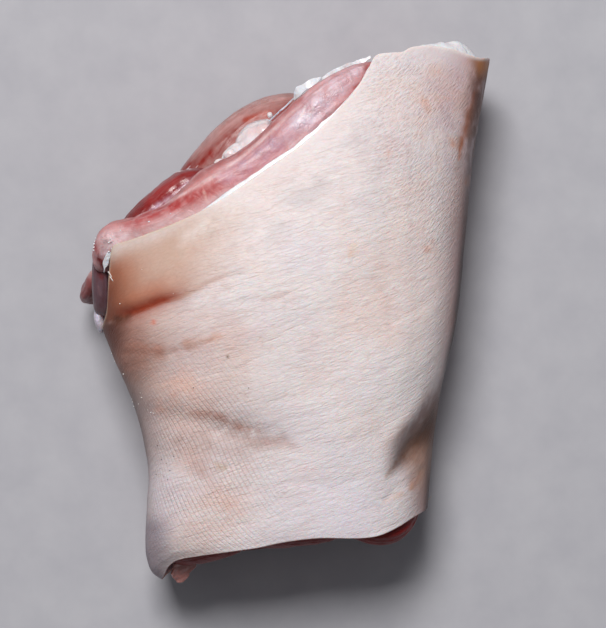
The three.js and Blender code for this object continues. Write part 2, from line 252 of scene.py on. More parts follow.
@dataclass
class Leg:
    """The rind's tube as named sizes in millimetres, in the drawing frame of the solids."""

    sawn_height: float = 68.0
    shoulder_height: float = 86.0
    cut_height: float = 82.0
    middle_share: float = 0.46
    squareness: float = 2.5
    squash: float = 1.12
    sideways: float = 0.7
    relief_fade: int = 8
    left: Curve = field(default_factory=lambda: Curve([
        (-51, -96.6), (-54.4, -94), (-56.5, -89), (-57, -82), (-56.5, -70), (-55.9, -58), (-58.4, -42.6),
        (-62.5, -28), (-69.2, -14), (-74.8, -1.4)]))
    right: Curve = field(default_factory=lambda: Curve([
        (45.7, -71.5), (47, -54.6), (49, -38), (51, -24.6), (55, -5.8), (58.5, 26.7), (61.2, 56),
        (67.4, 91)]))
    cut_above: Profile = field(default_factory=lambda: Profile([
        (-1, -5.2), (-0.94, -2.3), (-0.89, 2.0), (-0.82, 9.4), (-0.765, 15.2), (-0.74, 15.9),
        (-0.68, 14.3), (-0.48, 10.3), (-0.3, 8.3), (-0.09, 8.5), (0.09, 8.9), (0.21, 10.1), (0.37, 13.6),
        (0.45, 16), (0.51, 18.5), (0.57, 21.2), (0.63, 19.3), (0.67, 17.5), (0.71, 17.3), (0.75, 16.0),
        (0.8, 13.5), (0.86, 9.3), (0.94, 2.5), (1, 0.5)]))
    cut_below: Profile = field(default_factory=lambda: Profile([
        (-1, -4.6), (-0.85, 5), (-0.6, 15), (-0.2, 23), (0.1, 24.5), (0.3, 22), (0.5, 19.5), (0.7, 15),
        (0.86, 9), (1, 0)]))
    sawn_above: Profile = field(default_factory=lambda: Profile([
        (-1, 0.5), (-0.95, 3.4), (-0.9, 6.1), (-0.82, 8), (-0.67, 8), (-0.44, 7), (-0.24, 6), (-0.05, 5.6),
        (0.19, 3.9), (0.46, 0.2), (0.6, -0.9), (0.75, 0), (0.88, 1.5), (1, 1.9)]))
    sawn_below: Profile = field(default_factory=lambda: Profile([
        (-1, 0.5), (-0.7, 4.5), (0, 3), (0.7, -0.5), (1, 1.5)]))
    swells: tuple[Swell, ...] = (
        Swell((-52, 13), 14, (17, 6), 1.6),
        Swell((-52, -7), 14, (16, 7), 1.1),
        Swell((42, -41.5), 58, (12, 3.4), -4.2),
        Swell((31, -18), 50, (20, 12), 1.8),
        Swell((-32, -39), -10, (17, 3), -1.3),
        Swell((-38, -29), -8, (17, 5), 0.9),
        Swell((-40, -72), 55, (15, 7), 1.6),
    )

    def __post_init__(self) -> None:
        """Draws the height along the leg."""
        self.height = Profile([
            (0, self.sawn_height), (0.4, 0.5 * (self.sawn_height + self.shoulder_height)),
            (0.78, self.shoulder_height), (1, self.cut_height)])

    def crossing(self, along: Array) -> tuple[Array, Array, Array, Array]:
        """The straight line across the leg at shares of its length.

        Args:
            along: shares of the length, from the sawn end.

        Returns:
            Its middle, half length, direction, and the direction out towards the slanting cut.
        """
        left, right = self.left.at(along), self.right.at(along)
        half = np.linalg.norm(right - left, axis=-1) / 2.0
        across = unit(right - left)
        outward = np.stack([-across[..., 1], across[..., 0]], axis=-1)
        return (left + right) / 2.0, half, across, outward

    def section(self, angle: Array, along: Array) -> tuple[Array, Array]:
        """Share across the leg, and height over the table, at angles from the right edge.

        Args:
            angle: angle round the leg, 0 at the right edge and a quarter turn on top.
            along: share of the length.

        Returns:
            Shares of -1 to 1 across the leg, and heights.
        """
        power = 2.0 / self.squareness
        share, rise = squared(np.cos(angle), power), squared(np.sin(angle), power)
        height = self.height(along)
        level = self.middle_share * height
        under = np.maximum(0.0, level * (1 + self.squash * rise))
        return share, np.where(rise >= 0, level + (height - level) * rise, under)

    def relief(self, plan: Array) -> Array:
        """Height of all swells together."""
        return sum(swell.push(plan) for swell in self.swells)

    def skin(self, angle: Array, along: Array) -> Array:
        """Points of the rind's outside.

        Args:
            angle: angle round the leg.
            along: share of the length.

        Returns:
            The points.
        """
        middle, half, across, outward = self.crossing(along)
        share, height = self.section(angle, along)
        upper = np.sin(angle) >= 0
        bow = (np.where(upper, self.cut_above(share), self.cut_below(share)) * along**2
               + np.where(upper, self.sawn_above(share), self.sawn_below(share)) * (1 - along) ** 2)
        plan = middle + across * (half * share)[..., None] + outward * bow[..., None]
        facing = np.sqrt(np.maximum(0.0, np.sin(angle)))
        push = self.relief(plan) * facing
        plan = plan + across * (push * np.cos(angle) * self.sideways)[..., None]
        return np.concatenate([plan, (height + push * facing)[..., None]], axis=-1)

    def face(self, end: End, x: Array, z: Array, lift: Array) -> Array:
        """Points of a cut face.

        Args:
            end: which face.
            x: across the leg from its middle.
            z: height over the table.
            lift: how far out of the face.

        Returns:
            The points.
        """
        x, z, lift = np.broadcast_arrays(*(np.asarray(v, dtype=float) for v in (x, z, lift)))
        along = np.full(x.shape, end.value)
        above, below = {End.CUT: (self.cut_above, self.cut_below),
                        End.SAWN: (self.sawn_above, self.sawn_below)}[end]
        middle, half, across, outward = self.crossing(along)
        share = np.clip(x / half, -1.0, 1.0)
        angle = np.arccos(squared(share, self.squareness / 2.0))
        top, bottom = self.section(angle, along)[1], self.section(-angle, along)[1]
        deep = top - bottom
        climb = np.where(deep < 1.0, 0.5, np.clip((z - bottom) / np.maximum(deep, 1.0), 0.0, 1.0))
        bow = below(share) * (1 - climb) + above(share) * climb
        out = bow + (lift if end is End.CUT else -lift)
        plan = middle + across * x[..., None] + outward * out[..., None]
        return np.concatenate([plan, z[..., None]], axis=-1)

    def rim(self, end: End, angle: Array, share: Array, depth: Array) -> Array:
        """Points of a cut face on rings inside its rim, and what the rind's relief adds there.

        Args:
            end: which face.
            angle: angle round the leg.
            share: share of the way from the middle of the face to its rim.
            depth: how deep inside the face.

        Returns:
            The points.
        """
        along = np.full(np.shape(angle), end.value)
        half = self.crossing(along)[1]
        level = self.middle_share * self.height(along)
        across, height = self.section(angle, along)
        point = self.face(end, half * across * share, level + (height - level) * share, -depth)
        edge = self.face(end, half * across, height, 0.0 * depth)
        return point + (self.skin(angle, along) - edge) * np.clip(share, 0, 1)[..., None] ** self.relief_fade


def to_frame(points: Array) -> Array:
    """Drawing millimetres to metres in the frame."""
    return (points - np.array([*PLAN_CENTRE, 0.0])) * MM


def marks(points: Array) -> Array:
    """Places as marked on the drawing from above, whose marks are VIEW_STEP apart, y downwards."""
    step = VIEW_STEP * (VIEW_HEIGHT - points[..., 2]) / (VIEW_HEIGHT - VIEW_LEVEL)
    return np.stack([VIEW_CENTRE[0] + points[..., 0] / step, VIEW_CENTRE[1] - points[..., 1] / step], axis=-1)


def spots(*places: tuple[float, float, float]) -> Array:
    """The points that stand over marks of the drawing; each place is across, down and height."""
    across, down, height = np.array(places, dtype=float).T
    step = VIEW_STEP * (VIEW_HEIGHT - height) / (VIEW_HEIGHT - VIEW_LEVEL)
    return np.column_stack([(across - VIEW_CENTRE[0]) * step, (VIEW_CENTRE[1] - down) * step, height])


@dataclass(frozen=True)
class Stroke:
    """A soft line on the surface, given by marks on the drawing from above."""

    line: tuple[tuple[float, float], ...]
    width: float
    colour: tuple[float, float, float] = (255, 255, 255)
    strength: float = 1.0
    pointed: float = 0.6

    def offset(self, places: Array) -> tuple[Array, Array]:
        """How far places are below the line, and the share of its run that they are at.

        Args:
            places: marks on the drawing.

        Returns:
            Distances, above zero on the right hand of the line's run, and shares.
        """
        line = np.asarray(self.line, dtype=float)
        best = np.full(places.shape[:-1], 1e9)
        side, share = np.zeros_like(best), np.zeros_like(best)
        spans = len(line) - 1
        for i, (start, end) in enumerate(zip(line, line[1:])):
            run = end - start
            away = places - start
            t = np.clip((away @ run) / (run @ run), 0.0, 1.0)
            gap = np.linalg.norm(away - t[..., None] * run, axis=-1)
            near = gap < best
            turn = np.sign(run[0] * away[..., 1] - run[1] * away[..., 0])
            best = np.where(near, gap, best)
            side = np.where(near, turn, side)
            share = np.where(near, (i + t) / spans, share)
        return best * side, share

    def cover(self, places: Array) -> Array:
        """Share of its colour at places: a bell across the line, pointed at the ends.

        Args:
            places: marks on the drawing.

        Returns:
            The share of its colour at each place.
        """
        gap, share = self.offset(places)
        narrow = 1.0 - self.pointed * (1.0 - np.sin(np.pi * share) ** 0.5)
        return self.strength * np.exp(-((gap / (self.width * narrow)) ** 2) / 2.0)


def strokes(*rows: tuple) -> tuple[Stroke, ...]:
    """Strokes from rows of their values."""
    return tuple(Stroke(*row) for row in rows)


# ---- Work on meshes ----


def only(piece: Object) -> None:
    """Selects one object alone."""
    bpy.ops.object.select_all(action="DESELECT")
    piece.select_set(True)
    bpy.context.view_layer.objects.active = piece


@contextmanager
def editing(piece: Object) -> Iterator[None]:
    """Edit mode on one object with all its mesh selected.

    Args:
        piece: the object.
    """
    only(piece)
    bpy.ops.object.mode_set(mode="EDIT")
    bpy.ops.mesh.select_all(action="SELECT")
    yield
    bpy.ops.object.mode_set(mode="OBJECT")


def added(name: str, add: Callable[..., set], **sizes: object) -> Object:
    """Adds a primitive with nothing selected, and names it.

    Args:
        name: the new piece's name.
        add: the operator that adds it.
        sizes: the operator's settings.

    Returns:
        The new piece.
    """
    bpy.ops.object.select_all(action="DESELECT")
    add(**sizes)
    bpy.context.object.name = name
    return bpy.context.object


def corners(piece: Object, kind: str = "co") -> Array:
    """Vertex places of a piece, or its vertex normals for the kind normal."""
    flat = np.empty(len(piece.data.vertices) * 3)
    piece.data.vertices.foreach_get(kind, flat)
    return flat.reshape(-1, 3)


def move_corners(piece: Object, points: Array) -> None:
    """Gives every vertex a new place."""
    piece.data.vertices.foreach_set("co", np.asarray(points, dtype=np.float32).ravel())
    piece.data.update()


def tint(piece: Object, colours: Array) -> None:
    """Paints the vertices with scene-linear colours, as the attribute tint."""
    layer = piece.data.attributes.new("tint", "FLOAT_COLOR", "POINT")
    full = np.column_stack([colours, np.ones(len(colours))])
    layer.data.foreach_set("color", full.astype(np.float32).ravel())


def mask(piece: Object, name: str, values: Array) -> None:
    """Stores one number for each vertex as an attribute."""
    layer = piece.data.attributes.new(name, "FLOAT", "POINT")
    layer.data.foreach_set("value", np.asarray(values, dtype=np.float32))


def unwrap(piece: Object, around: Array, along: Array, turn: float = 0.0) -> None:
    """Gives the piece a UV map in millimetres.

    Args:
        piece: the mesh.
        around: distance round the piece for each vertex.
        along: distance along it for each vertex.
        turn: length of one full turn round it, so that faces on its seam aren't stretched back over it.
    """
    mesh = piece.data
    held = np.empty(len(mesh.loops), dtype=np.int32)
    mesh.loops.foreach_get("vertex_index", held)
    starts = np.empty(len(mesh.polygons), dtype=np.int32)
    mesh.polygons.foreach_get("loop_start", starts)
    u, v = around[held].copy(), along[held]
    if turn:
        sizes = np.diff(np.append(starts, len(held)))
        highest = np.repeat(np.maximum.reduceat(u, starts), sizes)
        u = np.where(highest - u > turn / 2, u + turn, u)
    layer = mesh.uv_layers[0] if mesh.uv_layers else mesh.uv_layers.new(name="wrap")
    layer.name = "wrap"
    layer.data.foreach_set("uv", np.column_stack([u, v]).astype(np.float32).ravel())


def finished(piece: Object, node: str, material: Material) -> Object:
    """Smooths a piece, turns its faces out, dresses it and sets it on the frame.

    Args:
        piece: the mesh, in place.
        node: the solid that it stands for.
        material: its finish.

    Returns:
        The piece.
    """
    with editing(piece):
        bpy.ops.mesh.normals_make_consistent(inside=False)
    bpy.ops.object.shade_smooth()
    piece.data.materials.clear()
    piece.data.materials.append(material)
    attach(piece, "root")
    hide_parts(node)
    log.info("%s: %d faces", piece.name, len(piece.data.polygons))
    return piece


# ---- Finishes ----


class Nodes:
    """A short way to lay out a material's nodes."""

    MIX_SHARE, MIX_FIRST, MIX_SECOND, MIX_RESULT = 0, 6, 7, 2

    def __init__(self, name: str) -> None:
        """Args:
            name: the material's name.
        """
        self.material = bpy.data.materials.new(name)
        self.material.use_nodes = True
        self.tree = self.material.node_tree
        self.tree.nodes.clear()
        self.shader = self.add("ShaderNodeBsdfPrincipled")
        output = self.add("ShaderNodeOutputMaterial")
        self.link(self.shader.outputs["BSDF"], output.inputs["Surface"])

    def add(self, kind: str, **values: object) -> bpy.types.Node:
        """Adds a node; names in values are its properties, or its sockets with spaces as underscores.

        Args:
            kind: the node's type.
            values: its properties and the values of its sockets.

        Returns:
            The node.
        """
        node = self.tree.nodes.new(kind)
        for name, value in values.items():
            if hasattr(node, name):
                setattr(node, name, value)
            else:
                node.inputs[name.replace("_", " ")].default_value = value
        return node

    def link(self, source: Socket, target: Socket) -> None:
        """Joins two sockets."""
        self.tree.links.new(source, target)

    def attribute(self, name: str, output: str = "Color") -> Socket:
        """Reads a stored attribute."""
        return self.add("ShaderNodeAttribute", attribute_name=name).outputs[output]

    def places(self, scale: Sequence[float] = (1.0, 1.0, 1.0), source: str = "Object",
               turn: float = 0.0) -> Socket:
        """Pattern coordinates, scaled and turned.

        Args:
            scale: factor on each axis.
            source: Object, in metres, or UV, in millimetres.
            turn: turn about the third axis, in degrees.

        Returns:
            The coordinates' socket.
        """
        coordinates = self.add("ShaderNodeTexCoord")
        mapping = self.add("ShaderNodeMapping", vector_type="TEXTURE")
        mapping.inputs["Scale"].default_value = tuple(1.0 / factor for factor in scale)
        mapping.inputs["Rotation"].default_value = (0.0, 0.0, math.radians(turn))
        self.link(coordinates.outputs[source], mapping.inputs["Vector"])
        return mapping.outputs["Vector"]

    def noise(self, places: Socket, scale: float, detail: float = 2.0, rough: float = 0.5,
              twist: float = 0.0) -> Socket:
        """Noise of 0 to 1.

        Args:
            places: pattern coordinates.
            scale: cells to one unit of them.
            detail: number of finer layers.
            rough: strength of those layers.
            twist: how much it swirls.

        Returns:
            The noise's socket.
        """
        node = self.add("ShaderNodeTexNoise", Scale=scale, Detail=detail, Roughness=rough, Distortion=twist)
        self.link(places, node.inputs["Vector"])
        return node.outputs["Fac"]

    def cells(self, places: Socket, scale: float, random: float = 1.0) -> Socket:
        """Distances from the borders of a pattern of cells.

        Args:
            places: pattern coordinates.
            scale: cells to one unit of them.
            random: how uneven the cells are, 0 to 1.

        Returns:
            The distances' socket.
        """
        node = self.add("ShaderNodeTexVoronoi", feature="DISTANCE_TO_EDGE", Scale=scale, Randomness=random)
        self.link(places, node.inputs["Vector"])
        return node.outputs["Distance"]

    def bands(self, places: Socket, pitch: float, sway: float) -> Socket:
        """Regular bands of 0 to 1 across the first axis.

        Args:
            places: pattern coordinates.
            pitch: distance from band to band.
            sway: how much they wander.

        Returns:
            The bands' socket.
        """
        node = self.add("ShaderNodeTexWave", wave_type="BANDS", bands_direction="X",
                        Scale=math.tau / (20.0 * pitch), Distortion=sway, Detail=2.0)
        node.inputs["Detail Scale"].default_value = 0.12
        self.link(places, node.inputs["Vector"])
        return node.outputs["Fac"]

    def ramp(self, value: Socket, low: float, high: float, start: float = 0.0, end: float = 1.0) -> Socket:
        """Value from start to end as the input goes from low to high.

        Args:
            value: the input.
            low: input where the rise starts.
            high: input where it ends.
            start: result at low.
            end: result at high.

        Returns:
            The result's socket.
        """
        node = self.add("ShaderNodeMapRange", From_Min=low, From_Max=high, To_Min=start, To_Max=end)
        self.link(value, node.inputs["Value"])
        return node.outputs["Result"]

    def sum(self, kind: str, first: Socket, second: Socket | float) -> Socket:
        """A sum on two values, of the named kind.

        Args:
            kind: the sum, such as MULTIPLY.
            first: a socket.
            second: a socket or a number.

        Returns:
            The result's socket.
        """
        node = self.add("ShaderNodeMath", operation=kind)
        self.link(first, node.inputs[0])
        if isinstance(second, (int, float)):
            node.inputs[1].default_value = second
        else:
            self.link(second, node.inputs[1])
        return node.outputs["Value"]

    def blend(self, share: Socket | float, first: Socket | Sequence[float],
              second: Socket | Sequence[float], kind: str = "MIX") -> Socket:
        """Two colours mixed; a plain colour is given as display values of 0 to 255.

        Args:
            share: share of the second colour.
            first: a socket or a plain colour.
            second: a socket or a plain colour.
            kind: how they are mixed.

        Returns:
            The mixed colour's socket.
        """
        node = self.add("ShaderNodeMix", data_type="RGBA", blend_type=kind)
        for value, place in ((share, self.MIX_SHARE), (first, self.MIX_FIRST), (second, self.MIX_SECOND)):
            if isinstance(value, Socket):
                self.link(value, node.inputs[place])
            elif isinstance(value, (int, float)):
                node.inputs[place].default_value = value
            else:
                node.inputs[place].default_value = (*linear(value), 1.0)
        return node.outputs[self.MIX_RESULT]

    def bump(self, height: Socket, depth: float, under: Socket | None = None,
             where: Socket | None = None) -> Socket:
        """Bump of a height field.

        Args:
            height: the field, of 0 to 1.
            depth: metres from 0 to 1.
            under: a coarser bump that it lies on.
            where: how strong it is from place to place.

        Returns:
            The normal's socket.
        """
        node = self.add("ShaderNodeBump", Strength=1.0, Distance=depth)
        self.link(height, node.inputs["Height"])
        if under is not None:
            self.link(under, node.inputs["Normal"])
        if where is not None:
            self.link(where, node.inputs["Strength"])
        return node.outputs["Normal"]

    def set(self, **values: object) -> None:
        """Sets sockets of the shader; names have underscores for spaces."""
        for name, value in values.items():
            self.shader.inputs[name.replace("_", " ")].default_value = value


@dataclass(frozen=True)
class RindFinish:
    """Pale scalded pig skin: a fine net of wrinkles, longer lines across the leg, pores, faint mottling."""

    net_depth: float = 0.00005
    line_depth: float = 0.00018
    fold_depth: float = 0.00018
    hatch_depth: float = 0.00014
    pebble_depth: float = 0.00042
    pore_depth: float = 0.00003
    roughness: float = 0.46

    def material(self) -> Material:
        """Builds the material.

        Returns:
            The material.
        """
        n = Nodes("rind skin")
        folds = n.noise(n.places((0.04, 0.2, 1.0), "UV"), 1.0, 2.0, 0.5, 0.4)
        along = n.noise(n.places((0.13, 0.6, 1.0), "UV", 1.0), 1.0, 3.0, 0.55, 0.3)
        lines = self._lines(n, n.places((0.055, 0.3, 1.0), "UV"), 0.03)
        small = self._lines(n, n.places((0.14, 0.72, 1.0), "UV", -3.0), 0.05)
        net = n.ramp(n.cells(n.places((0.3, 0.72, 1.0), "UV", 3.0), 1.0, random=0.9), 0.0, 0.3)
        rills = n.ramp(n.bands(n.places(source="UV", turn=31.0), 1.35, 5.0), 0.0, 0.4)
        scales = n.ramp(n.cells(n.places((0.42, 0.7, 1.0), "UV", 14.0), 1.0, random=0.75), 0.0, 0.2, 0.35)
        grid = n.sum("MULTIPLY", rills, scales)
        lined = n.attribute("lined", "Fac")
        hatch = n.attribute("hatch", "Fac")
        pebbles = n.noise(n.places((0.62, 1.25, 1.0), "UV", 20.0), 1.0, 2.0, 0.6, 0.4)
        pores = n.noise(n.places(), 1300.0, 2.0, 0.6)
        n.set(Roughness=self.roughness, Subsurface_Weight=0.3, Subsurface_Radius=(1.0, 0.45, 0.3),
              Subsurface_Scale=0.002, IOR=1.4, Specular_IOR_Level=0.22)
        colour = n.attribute("tint")
        mottle = n.noise(n.places(), 70.0, 3.0, 0.6)
        colour = n.blend(n.ramp(mottle, 0.5, 0.75, 0.0, 0.25), colour, (240, 214, 208), "MULTIPLY")
        colour = n.blend(n.ramp(net, 0.0, 0.8, 0.1, 0.0), colour, (206, 180, 174), "MULTIPLY")
        colour = n.blend(n.sum("MULTIPLY", n.ramp(lines, 0.0, 1.0, 0.14, 0.0), lined), colour,
                         (206, 172, 162), "MULTIPLY")
        colour = n.blend(n.sum("MULTIPLY", n.ramp(small, 0.0, 1.0, 0.1, 0.0), lined), colour,
                         (206, 172, 162), "MULTIPLY")
        dimples = n.sum("MULTIPLY", n.ramp(pebbles, 0.52, 0.3, 0.0, 0.4), n.attribute("pebbled", "Fac"))
        colour = n.blend(dimples, colour, (196, 160, 158), "MULTIPLY")
        shade = n.sum("MULTIPLY", n.ramp(grid, 0.0, 0.8, 0.3, 0.0), hatch)
        colour = n.blend(shade, colour, (190, 152, 142), "MULTIPLY")
        n.link(colour, n.shader.inputs["Base Color"])
        surface = n.bump(folds, self.fold_depth, where=lined)
        surface = n.bump(along, self.line_depth, surface, lined)
        surface = n.bump(lines, self.line_depth * 0.25, surface, lined)
        surface = n.bump(small, self.line_depth * 0.18, surface, lined)
        surface = n.bump(net, self.net_depth, surface, lined)
        surface = n.bump(n.sum("MULTIPLY", grid, hatch), self.hatch_depth, surface)
        surface = n.bump(pebbles, self.pebble_depth, surface, n.attribute("pebbled", "Fac"))
        surface = n.bump(pores, self.pore_depth, surface)
        n.link(surface, n.shader.inputs["Normal"])
        return n.material

    @staticmethod
    def _lines(n: Nodes, places: Socket, width: float) -> Socket:
        """Thin lines, 0 on them and 1 off them."""
        level = n.noise(places, 1.0, 2.0, 0.5, 0.2)
        return n.ramp(n.sum("ABSOLUTE", n.sum("SUBTRACT", level, 0.5), 0.0), 0.0, width)


@dataclass(frozen=True)
class FleshFinish:
    """Raw muscle with fibres along the piece, streaks of pale tissue and wet patches."""

    name: str
    fibre: float = 0.9
    streaks: float = 0.25
    wrinkle: float = 0.0006
    roughness: float = 0.36
    gloss: float = 0.2

    def material(self) -> Material:
        """Builds the material.

        Returns:
            The material.
        """
        n = Nodes(self.name)
        fibres = n.noise(n.places((self.fibre, 0.09, 1.0), "UV"), 1.0, 3.0, 0.6, 0.3)
        streaks = n.noise(n.places((0.35, 0.05, 1.0), "UV", 3.0), 1.0, 4.0, 0.65, 0.8)
        film = n.noise(n.places(), 300.0, 3.0, 0.6, 0.8)
        wet = n.attribute("wet", "Fac")
        colour = n.attribute("tint")
        colour = n.blend(n.ramp(streaks, 0.56, 0.72, 0.0, self.streaks), colour, (236, 206, 208))
        colour = n.blend(n.ramp(fibres, 0.6, 0.35, 0.0, 0.35), colour, (212, 150, 144), "MULTIPLY")
        colour = n.blend(n.ramp(film, 0.62, 0.3, 0.0, 0.3), colour, (214, 160, 158), "MULTIPLY")
        n.link(colour, n.shader.inputs["Base Color"])
        n.set(Subsurface_Weight=0.25, Subsurface_Radius=(1.0, 0.3, 0.2), Subsurface_Scale=0.0025,
              Coat_Weight=self.gloss, Coat_Roughness=0.16, IOR=1.4)
        dull = n.ramp(film, 0.2, 0.8, self.roughness - 0.06, self.roughness + 0.14)
        n.link(n.sum("SUBTRACT", dull, n.sum("MULTIPLY", wet, 0.2)), n.shader.inputs["Roughness"])
        surface = n.bump(streaks, 0.0004)
        surface = n.bump(fibres, 0.00025, surface)
        surface = n.bump(n.sum("MULTIPLY", film, n.ramp(wet, 0.0, 1.0, 0.3, 1.0)), self.wrinkle, surface)
        n.link(surface, n.shader.inputs["Normal"])
        return n.material


@dataclass(frozen=True)
class PaleFinish:
    """Fat, membrane, gristle and bone: pale, waxy and moist, in the colour painted on the piece."""

    name: str
    roughness: float = 0.35
    depth: float = 0.0005
    grain: float = 420.0
    coat: float = 0.35

    def material(self) -> Material:
        """Builds the material.

        Returns:
            The material.
        """
        n = Nodes(self.name)
        lumps = n.noise(n.places(), self.grain, 3.0, 0.6, 0.4)
        stains = n.noise(n.places(), 130.0, 3.0, 0.6, 0.6)
        colour = n.attribute("tint")
        colour = n.blend(n.ramp(stains, 0.52, 0.78, 0.0, 0.35), colour, (226, 168, 160), "MULTIPLY")
        colour = n.blend(n.ramp(lumps, 0.5, 0.25, 0.0, 0.25), colour, (222, 190, 182), "MULTIPLY")
        n.link(colour, n.shader.inputs["Base Color"])
        n.set(Roughness=self.roughness, Subsurface_Weight=0.35, Subsurface_Radius=(1.0, 0.6, 0.45),
              Subsurface_Scale=0.0025, Coat_Weight=self.coat, Coat_Roughness=0.2, IOR=1.44)
        surface = n.bump(stains, 0.001)
        surface = n.bump(lumps, self.depth, surface)
        n.link(surface, n.shader.inputs["Normal"])
        return n.material


# ---- The rind ----

CREASE = Stroke(((100, 323), (112, 321.5), (122, 319), (134, 316), (148, 310), (164, 304.5), (180, 300),
                 (195, 291.5), (208, 284), (225, 277), (245, 273)), 3.0)
HOLLOW = Stroke(((382, 480), (393, 466), (404, 453), (414.5, 441), (427, 428), (440, 409), (447, 394)), 5.0)
FOLDS = (
    (Stroke(((112, 352), (140, 353), (165, 355), (190, 349), (212, 340)), 2.6), 0.12),
    (Stroke(((122, 368), (145, 363), (168, 354), (190, 344)), 2.6), 0.12),
    (Stroke(((214, 430), (238, 434), (260, 437), (285, 439)), 9.0), 0.28),
    (Stroke(((262, 403), (300, 397), (345, 384)), 3.5), 0.12),
    (Stroke(((225, 306), (258, 301), (287, 293)), 2.4), 0.1),
    (Stroke(((286, 482), (325, 486), (358, 480)), 4.0), 0.2),
    (Stroke(((385, 500), (398, 488), (414, 480), (424, 468)), 4.0), 0.3),
    (Stroke(((428, 112), (452, 128), (462, 150)), 5.0), 0.2),
)
# Stains and scorch marks on the skin; the grey and grey-brown strokes are painted shade in folds and hollows.
STAINS_AND_SHADE = strokes(
    (((413, 440), (416, 451), (418, 462)), 3.6, (136, 100, 82), 0.5),
    (((398, 461), (393, 468), (388, 475)), 1.6, (150, 106, 80), 0.6),
    (((419, 470), (416, 480), (412, 488)), 2.4, (190, 134, 112), 0.45),
    (((114, 362), (140, 359), (168, 354), (196, 345)), 8.0, (188, 140, 124), 0.5),
    (((112, 350), (140, 352), (165, 354), (190, 348), (212, 339)), 2.4, (164, 112, 94), 0.4),
    (((180, 344), (198, 341), (222, 336)), 4.5, (216, 164, 140), 0.4),
    (((128, 345), (150, 350), (176, 347)), 4.0, (190, 132, 112), 0.4),
    # Painted shade along the low fold.
    (((218, 430), (238, 434), (260, 437), (286, 440)), 8.0, (168, 142, 136), 0.42),
    (((178, 440), (204, 441), (232, 443), (264, 444)), 10.0, (184, 158, 152), 0.42),
    (((190, 414), (207, 414), (224, 419), (240, 427), (260, 432)), 3.4, (190, 134, 116), 0.5),
    (((158, 410), (166, 404), (174, 398)), 7.0, (222, 170, 152), 0.4),
    # Painted shade over a broad band below the slanting rim.
    (((236, 262), (262, 240), (290, 212), (312, 190), (332, 172), (350, 150), (366, 128)), 14.0,
     (196, 186, 188), 0.34, 0.3),
    (((178, 241), (194, 233), (212, 221), (232, 208)), 6.0, (242, 234, 230), 0.5, 0.3),
    (((102, 323), (112, 321), (124, 318)), 4.0, (112, 66, 48), 0.9, 0.2),
    (((190, 470), (206, 468), (222, 466)), 10.0, (178, 158, 156), 0.3),
    (((204, 298), (212, 291), (228, 286)), 8.0, (214, 188, 182), 0.4),
    (((262, 442), (285, 444), (300, 449)), 4.0, (200, 164, 158), 0.3),
    (((262, 300), (272, 298), (289, 292)), 1.6, (190, 150, 140), 0.45),
    (((475, 92), (470, 108), (467, 122), (463, 138), (458, 160)), 2.6, (184, 104, 60), 0.85),
    (((484, 66), (481, 80), (477, 96)), 3.0, (150, 92, 58), 0.7),
    (((440, 104), (452, 99)), 3.4, (218, 160, 128), 0.5),
    (((424, 97), (427, 113)), 3.0, (226, 172, 146), 0.45),
    (((462, 56), (467, 64)), 2.6, (214, 146, 118), 0.5),
    (((388, 151), (389, 157)), 2.2, (236, 176, 156), 0.5),
    (((448, 138), (454, 147)), 2.8, (216, 156, 130), 0.5),
    (((425, 251), (430, 246), (434, 240)), 3.2, (226, 164, 142), 0.65),
    (((470, 176), (467, 186)), 2.6, (198, 134, 106), 0.5),
    (((383, 503), (392, 498), (403, 493)), 2.0, (226, 164, 112), 0.55),
    (((385, 478), (390, 471), (397, 461)), 1.8, (156, 112, 88), 0.7),
    (((410, 490), (416, 480), (424, 469)), 2.8, (206, 160, 134), 0.55),
    (((152, 321), (154, 324)), 2.2, (226, 136, 114), 0.7),
    (((226, 356), (229, 358)), 1.1, (120, 84, 58), 0.9),
    (((350, 256), (357, 244)), 3.4, (238, 212, 186), 0.5),
    (((214, 461), (226, 469)), 3.0, (206, 186, 150), 0.45),
)


